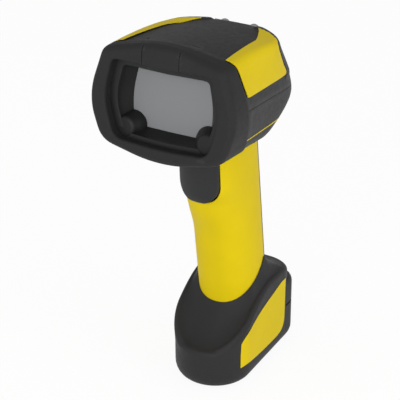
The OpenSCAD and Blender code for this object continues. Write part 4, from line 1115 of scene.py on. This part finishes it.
for side in (-1, 1):
    rows = []
    for r, s in boss_profile:
        out = ease((13 - s) / 8)
        x, t = boss_x + 2 * out, boss_t - 0.8 * out
        rows.append([in_head((side * (x + r * math.cos(a)), s, t + r * math.sin(a)))
                     for a in np.linspace(0, 2 * math.pi, 61)])
    boss_heart = in_head((side * boss_x, 20, boss_t))
    join(bezel, skin_piece("boss", rows, lambda p, heart=boss_heart: heart, left_too=False))
smooth(bezel, 50)
recess_black = moulded_plastic("recess_black", (30, 30, 31), 0.45, 1800, 0.000015, gloss=0.25, edge_highlight_lift=10)
fit_out(bezel, recess_black, "recess_black", "reader", "window_bezel")

# Scan window
# Tinted flat window with a hard coat, glued at the bottom of the bezel on a thin black
# rubber seal.

window_tint = moulded_plastic("window_tint_grey", (138, 139, 141), 0.4, 300, 0.000001,
                              gloss=0.2, edge_highlight_lift=0, drift=0.01)
seal_rubber = moulded_plastic("seal_rubber_black", (28, 28, 28), 0.8, 2600, 0.00003, edge_highlight_lift=6)


def finish_node(name, finish):
    """A node whose moulded or turned shape is right keeps it and gets its finish"""
    part = nodes[name]
    part.data.materials.clear()
    part.data.materials.append(finish)


finish_node("scan_window", window_tint)
finish_node("window_seal", seal_rubber)

# Status lens
# Small milky lens in clear resin, pressed into a round seat in the rear of the top cover,
# over a lamp on the board.

lens_milky = moulded_plastic("lens_milky", (150, 168, 152), 0.28, 900, 0.000006, gloss=0.5, edge_highlight_lift=8)
finish_node("status_lens", lens_milky)

# Hanger
# A bent steel plate with an eye for a strap, blasted and plated, held in the cover's seat by
# two screws.


def bare_metal(name, shade, rough, depth):
    """Plated or turned metal: a fine blasted grain and faint tarnish"""
    finish, tree, skin, place = new_finish(name)
    skin.inputs["Metallic"].default_value = 1.0
    fine, tarnish = noise(tree, place, 900, 5), noise(tree, place, 140, 4)
    dull, bright = light([c * 0.9 for c in shade]), light([min(255, c * 1.08) for c in shade])
    tree.links.new(blend(tree, tarnish, dull, bright), skin.inputs["Base Color"])
    tree.links.new(spread(tree, fine, 0.3, 0.7, rough - 0.08, rough + 0.08), skin.inputs["Roughness"])
    grain_bump(tree, skin, fine, 0.5, depth)
    return finish


def softened(name, node, reach, angle=35):
    """A copy of a cut or turned part with its sharp edges broken"""
    def merge(bm):
        bmesh.ops.remove_doubles(bm, verts=bm.verts, dist=1e-6)
        bmesh.ops.dissolve_limit(bm, angle_limit=math.radians(2), verts=bm.verts, edges=bm.edges)
    piece = placed(name, nodes[node].data.copy())
    piece.data.name = name
    rework(piece.data, merge)
    return smooth(round_edges(piece, reach, 2, angle), 30)


steel_plate = bare_metal("plated_steel_plate", (188, 188, 190), 0.42, 0.000012)
hanger = softened("hanger_plate", "hanger_bracket", 0.22)
fit_out(hanger, steel_plate, "steel_plate", "reader", "hanger_bracket")

# Screws
# Machine screws with a low domed head and a hexagon socket. One tree of nodes makes each
# kind from the places of its heads, with the drive cut into every head.

screw_sizes = ("Head radius", "Head height", "Drive radius", "Drive depth", "Shank radius", "Shank length")


def screw_tree():
    tree = bpy.data.node_groups.new("screw_rows", "GeometryNodeTree")
    inputs = {}

    def socket(label, kind, way="INPUT"):
        made = tree.interface.new_socket(label, in_out=way, socket_type="NodeSocket" + kind)
        inputs[label] = made.identifier

    socket("Places", "Geometry")
    for label in screw_sizes:
        socket(label, "Float")
    socket("Drive sides", "Int")
    socket("Finish", "Material")
    socket("Screws", "Geometry", "OUTPUT")
    new, link = tree.nodes.new, tree.links.new
    given = new("NodeGroupInput")

    def feed(value, socket):
        if isinstance(value, (int, float)):
            socket.default_value = value
        else:
            link(value, socket)

    def maths(op, a, b):
        n = new("ShaderNodeMath")
        n.operation = op
        feed(a, n.inputs[0])
        feed(b, n.inputs[1])
        return n.outputs[0]

    def cone(top, bottom, height, lift, sides=48):
        n = new("GeometryNodeMeshCone")
        feed(top, n.inputs["Radius Top"])
        feed(bottom, n.inputs["Radius Bottom"])
        feed(height, n.inputs["Depth"])
        feed(sides, n.inputs["Vertices"])
        move = new("GeometryNodeTransform")
        up = new("ShaderNodeCombineXYZ")
        feed(lift, up.inputs["Z"])
        link(n.outputs["Mesh"], move.inputs["Geometry"])
        link(up.outputs[0], move.inputs["Translation"])
        return move.outputs["Geometry"]

    radius, height = given.outputs["Head radius"], given.outputs["Head height"]
    side = maths("MULTIPLY", height, 0.62)
    lid = maths("MULTIPLY", height, 0.38)
    body = cone(radius, maths("MULTIPLY", radius, 0.97), side, 0.0)
    dome = cone(maths("MULTIPLY", radius, 0.8), radius, lid, side)
    thin, long = given.outputs["Shank radius"], given.outputs["Shank length"]
    shank = cone(thin, thin, long, maths("MULTIPLY", long, -1.0), 24)
    key = given.outputs["Drive radius"]
    floor_of_drive = maths("SUBTRACT", height, given.outputs["Drive depth"])
    drive = cone(maths("MULTIPLY", key, 1.06), key, maths("MULTIPLY", height, 2.0),
                 floor_of_drive, given.outputs["Drive sides"])
    union = new("GeometryNodeMeshBoolean")
    union.operation = "UNION"
    for part in (body, dome, shank):
        link(part, union.inputs["Mesh 2"])
    hollow = new("GeometryNodeMeshBoolean")
    hollow.operation = "DIFFERENCE"
    link(union.outputs["Mesh"], hollow.inputs["Mesh 1"])
    link(drive, hollow.inputs["Mesh 2"])
    aim = new("GeometryNodeInputNamedAttribute")
    aim.data_type = "FLOAT_VECTOR"
    aim.inputs["Name"].default_value = "head_way"
    turn = new("FunctionNodeAlignRotationToVector")
    turn.axis = "Z"
    link(aim.outputs["Attribute"], turn.inputs["Vector"])
    lay = new("GeometryNodeInstanceOnPoints")
    link(given.outputs["Places"], lay.inputs["Points"])
    link(hollow.outputs["Mesh"], lay.inputs["Instance"])
    link(turn.outputs["Rotation"], lay.inputs["Rotation"])
    real = new("GeometryNodeRealizeInstances")
    link(lay.outputs["Instances"], real.inputs["Geometry"])
    coat = new("GeometryNodeSetMaterial")
    link(real.outputs["Geometry"], coat.inputs["Geometry"])
    link(given.outputs["Finish"], coat.inputs["Material"])
    out = new("NodeGroupOutput")
    link(coat.outputs["Geometry"], out.inputs["Screws"])
    return tree, inputs


screws, screw_inputs = screw_tree()
screw_steel = bare_metal("zinc_screw_steel", (176, 176, 178), 0.34, 0.000008)


def screw_row(name, node, places, sizes):
    """Screws of one kind at places, each with the way its head faces; sizes follow screw_sizes"""
    def merge(bm):
        bmesh.ops.remove_doubles(bm, verts=bm.verts, dist=1e-7)
    mesh = bpy.data.meshes.new(name)
    mesh.from_pydata([tuple(c * 0.001 for c in p) for p, _way in places], [], [])
    ways = mesh.attributes.new("head_way", "FLOAT_VECTOR", "POINT")
    for i, (_p, way) in enumerate(places):
        ways.data[i].vector = way
    piece = placed(name, mesh)
    m = piece.modifiers.new("screws", "NODES")
    m.node_group = screws
    for label, size in zip(screw_sizes, sizes):
        m[screw_inputs[label]] = size * 0.001
    m[screw_inputs["Drive sides"]] = 6
    m[screw_inputs["Finish"]] = screw_steel
    settle(piece)
    rework(piece.data, merge)
    smooth(piece, 28)
    fit_out(piece, screw_steel, "screw_steel", "reader", node)


def way_of(place, z=1):
    """The direction that a frame's Z has on the reader"""
    return (Vector(place((0, 0, z))) - Vector(place((0, 0, 0)))).normalized()


hanger_way, head_down = way_of(at_hanger), way_of(in_head, -1)
hanger_places = [(at_hanger((x, 3.4, 1.54)), hanger_way) for x in (-8.1, 8.1)]
cover_places = [(in_head((x, s, well_end)), head_down) for x, s in wells]
grip_places = [((0, grip_y - grip_lean * z + grip_d / 2 - 2.18, z), Vector((0, 1, 0))) for z in screw_heights]
screw_row("hanger_screw_pair", "hanger_screws", hanger_places, (2.6, 2.0, 1.2, 1.1, 1.25, 5.5))
screw_row("cover_screw_set", "cover_screws", cover_places, (2.3, 1.8, 1.0, 1.0, 1.1, 22))
screw_row("grip_screw_pair", "grip_screws", grip_places, (2.3, 1.6, 1.0, 0.9, 1.1, 8))
lock = softened("battery_lock_screw", "battery_screw", 0.2)
fit_out(lock, screw_steel, "screw_steel", "battery_screw", "battery_screw")

# Inside the reader
# Engine, boards, leads, springs and cells keep their exact shapes and get the finish of
# their own stock: glass-epoxy board, moulded resin, gold flash, drawn wire.

board_green = moulded_plastic("glass_epoxy_board", (28, 92, 52), 0.35, 5200, 0.000012,
                              gloss=0.5, edge_highlight_lift=20, drift=0.12)
chip_resin = moulded_plastic("chip_resin", (26, 26, 28), 0.6, 6000, 0.00001, gloss=0.3, edge_highlight_lift=14)
grey_frame = moulded_plastic("grey_frame_plastic", (120, 121, 123), 0.55, 2400, 0.00002, gloss=0.35, edge_highlight_lift=16)
optic_black = moulded_plastic("optic_black", (22, 22, 23), 0.7, 3600, 0.00002, gloss=0.2, edge_highlight_lift=8)
gold_flash = bare_metal("gold_flash", (214, 172, 88), 0.26, 0.000004)
lens_glass = moulded_plastic("coated_lens", (40, 48, 84), 0.08, 200, 0.000001, gloss=0.9, edge_highlight_lift=0, drift=0.1)
led_resin = moulded_plastic("led_resin", (236, 233, 214), 0.2, 700, 0.000004, gloss=0.5, edge_highlight_lift=4)
red_sleeve = moulded_plastic("red_lead_sleeve", (150, 30, 26), 0.45, 1500, 0.00001, gloss=0.4, edge_highlight_lift=18)
red_button = moulded_plastic("red_plunger", (176, 38, 28), 0.4, 2000, 0.00001, gloss=0.4, edge_highlight_lift=14)
amber_film = moulded_plastic("amber_film", (176, 112, 34), 0.3, 900, 0.000006,
                             gloss=0.5, edge_highlight_lift=10, drift=0.1)
cell_sleeve = moulded_plastic("cell_shrink_sleeve", (56, 112, 168), 0.32, 1200, 0.00001, gloss=0.5, edge_highlight_lift=16)
for finish, slot, names in (
        (board_green, "board_green", ("main_board", "illumination_board", "battery_board")),
        (chip_resin, "chip_black", ("board_chips", "beeper", "trigger_switch")),
        (grey_frame, "grey_plastic", ("engine_frame", "switch_bracket")),
        (optic_black, "optic_black", ("imager_module",)),
        (gold_flash, "contact_gold", ("charge_contacts", "contact_pins", "battery_pads")),
        (lens_glass, "lens_clear", ("imager_lens", "aiming_laser")),
        (led_resin, "led_white", ("illumination_leds",)),
        (red_sleeve, "lead_red", ("power_leads",)),
        (red_button, "button_red", ("switch_plunger",)),
        (amber_film, "film_amber", ("flex_cable",)),
        (cell_sleeve, "cell_sleeve", ("battery_cells",)),
        (black_case, "black_case", ("contact_block", "battery_lid")),
        (screw_steel, "screw_steel", ("frame_screws", "neck_screws", "foot_screws", "radio_module",
                                      "trigger_pin", "trigger_spring"))):
    for name in names:
        finish_node(name, finish)

# Floor, light and camera
# A plain pale floor under three soft lamps, seen from the photograph's place. White comes
# from what the camera sees of the floor and the world, not from more light on the reader.


def seen_by(tree, *rays):
    """1 for the kinds of ray named and 0 for the rest"""
    path = tree.nodes.new("ShaderNodeLightPath")
    most = path.outputs[rays[0]]
    for ray in rays[1:]:
        n = tree.nodes.new("ShaderNodeMath")
        n.operation = "MAXIMUM"
        tree.links.new(most, n.inputs[0])
        tree.links.new(path.outputs[ray], n.inputs[1])
        most = n.outputs[0]
    return most


floor_mesh = bpy.data.meshes.new("studio_floor")
floor_mesh.from_pydata([(-6, -6, 0), (6, -6, 0), (6, 6, 0), (-6, 6, 0)], [], [(0, 1, 2, 3)])
floor = placed("studio_floor", floor_mesh)
paper = bpy.data.materials.new("pale_paper")
paper.use_nodes = True
tree = paper.node_tree
sheet = tree.nodes["Principled BSDF"]
sheet.inputs["Base Color"].default_value = (0.8, 0.8, 0.8, 1)
sheet.inputs["Roughness"].default_value = 0.9
sheet.inputs["Specular IOR Level"].default_value = 0.0
lit = tree.nodes.new("ShaderNodeEmission")
lit.inputs["Strength"].default_value = 1.06
seen = seen_by(tree, "Is Camera Ray", "Is Glossy Ray", "Is Transmission Ray")
share = tree.nodes.new("ShaderNodeMath")
share.operation = "MULTIPLY"
share.inputs[1].default_value = 0.85
tree.links.new(seen, share.inputs[0])
both = tree.nodes.new("ShaderNodeMixShader")
tree.links.new(share.outputs[0], both.inputs[0])
tree.links.new(sheet.outputs[0], both.inputs[1])
tree.links.new(lit.outputs[0], both.inputs[2])
tree.links.new(both.outputs[0], tree.nodes["Material Output"].inputs["Surface"])
floor_mesh.materials.append(paper)

world = bpy.data.worlds.new("studio")
bpy.context.scene.world = world
world.use_nodes = True
tree = world.node_tree
sky = tree.nodes["Background"]
level = tree.nodes.new("ShaderNodeMapRange")
level.inputs["To Min"].default_value = 0.5
level.inputs["To Max"].default_value = 1.0
tree.links.new(seen_by(tree, "Is Camera Ray", "Is Transmission Ray"), level.inputs["Value"])
tree.links.new(level.outputs["Result"], sky.inputs["Strength"])
sky.inputs["Color"].default_value = (1, 1, 1, 1)


def softbox(name, place, aim, size, power):
    lamp = bpy.data.lights.new(name, "AREA")
    lamp.shape = "RECTANGLE"
    lamp.size, lamp.size_y = size
    lamp.energy = power
    holder = placed(name, lamp)
    holder.location = place
    holder.rotation_euler = (Vector(aim) - Vector(place)).to_track_quat("-Z", "Y").to_euler()


softbox("front_softbox", (0.35, -1.3, 0.55), (0, 0, 0.12), (1.0, 0.8), 8)
softbox("left_softbox", (-1.2, -0.9, 0.5), (0, 0, 0.12), (0.9, 0.9), 2)
softbox("right_softbox", (1.3, -0.1, 0.4), (0, 0, 0.1), (0.9, 0.9), 5.5)

bpy.context.scene.view_settings.view_transform = "Standard"
stand = Vector((0.3028, -0.5702, 0.4266))
target = Vector((-0.01002, -0.01515, 0.0978))
ahead = (target - stand).normalized()
right = ahead.cross(Vector((0, 0, 1))).normalized()
up = right.cross(ahead)
roll = math.radians(0.3)
side_way = math.cos(roll) * right - math.sin(roll) * up
up_way = math.sin(roll) * right + math.cos(roll) * up
camera = placed("camera", bpy.data.cameras.new("camera"))
camera.data.lens = 126
camera.data.sensor_width = 36
camera.data.clip_end = 50
camera.matrix_world = Matrix((
    (side_way.x, up_way.x, -ahead.x, stand.x),
    (side_way.y, up_way.y, -ahead.y, stand.y),
    (side_way.z, up_way.z, -ahead.z, stand.z),
    (0, 0, 0, 1)))
bpy.context.scene.camera = camera
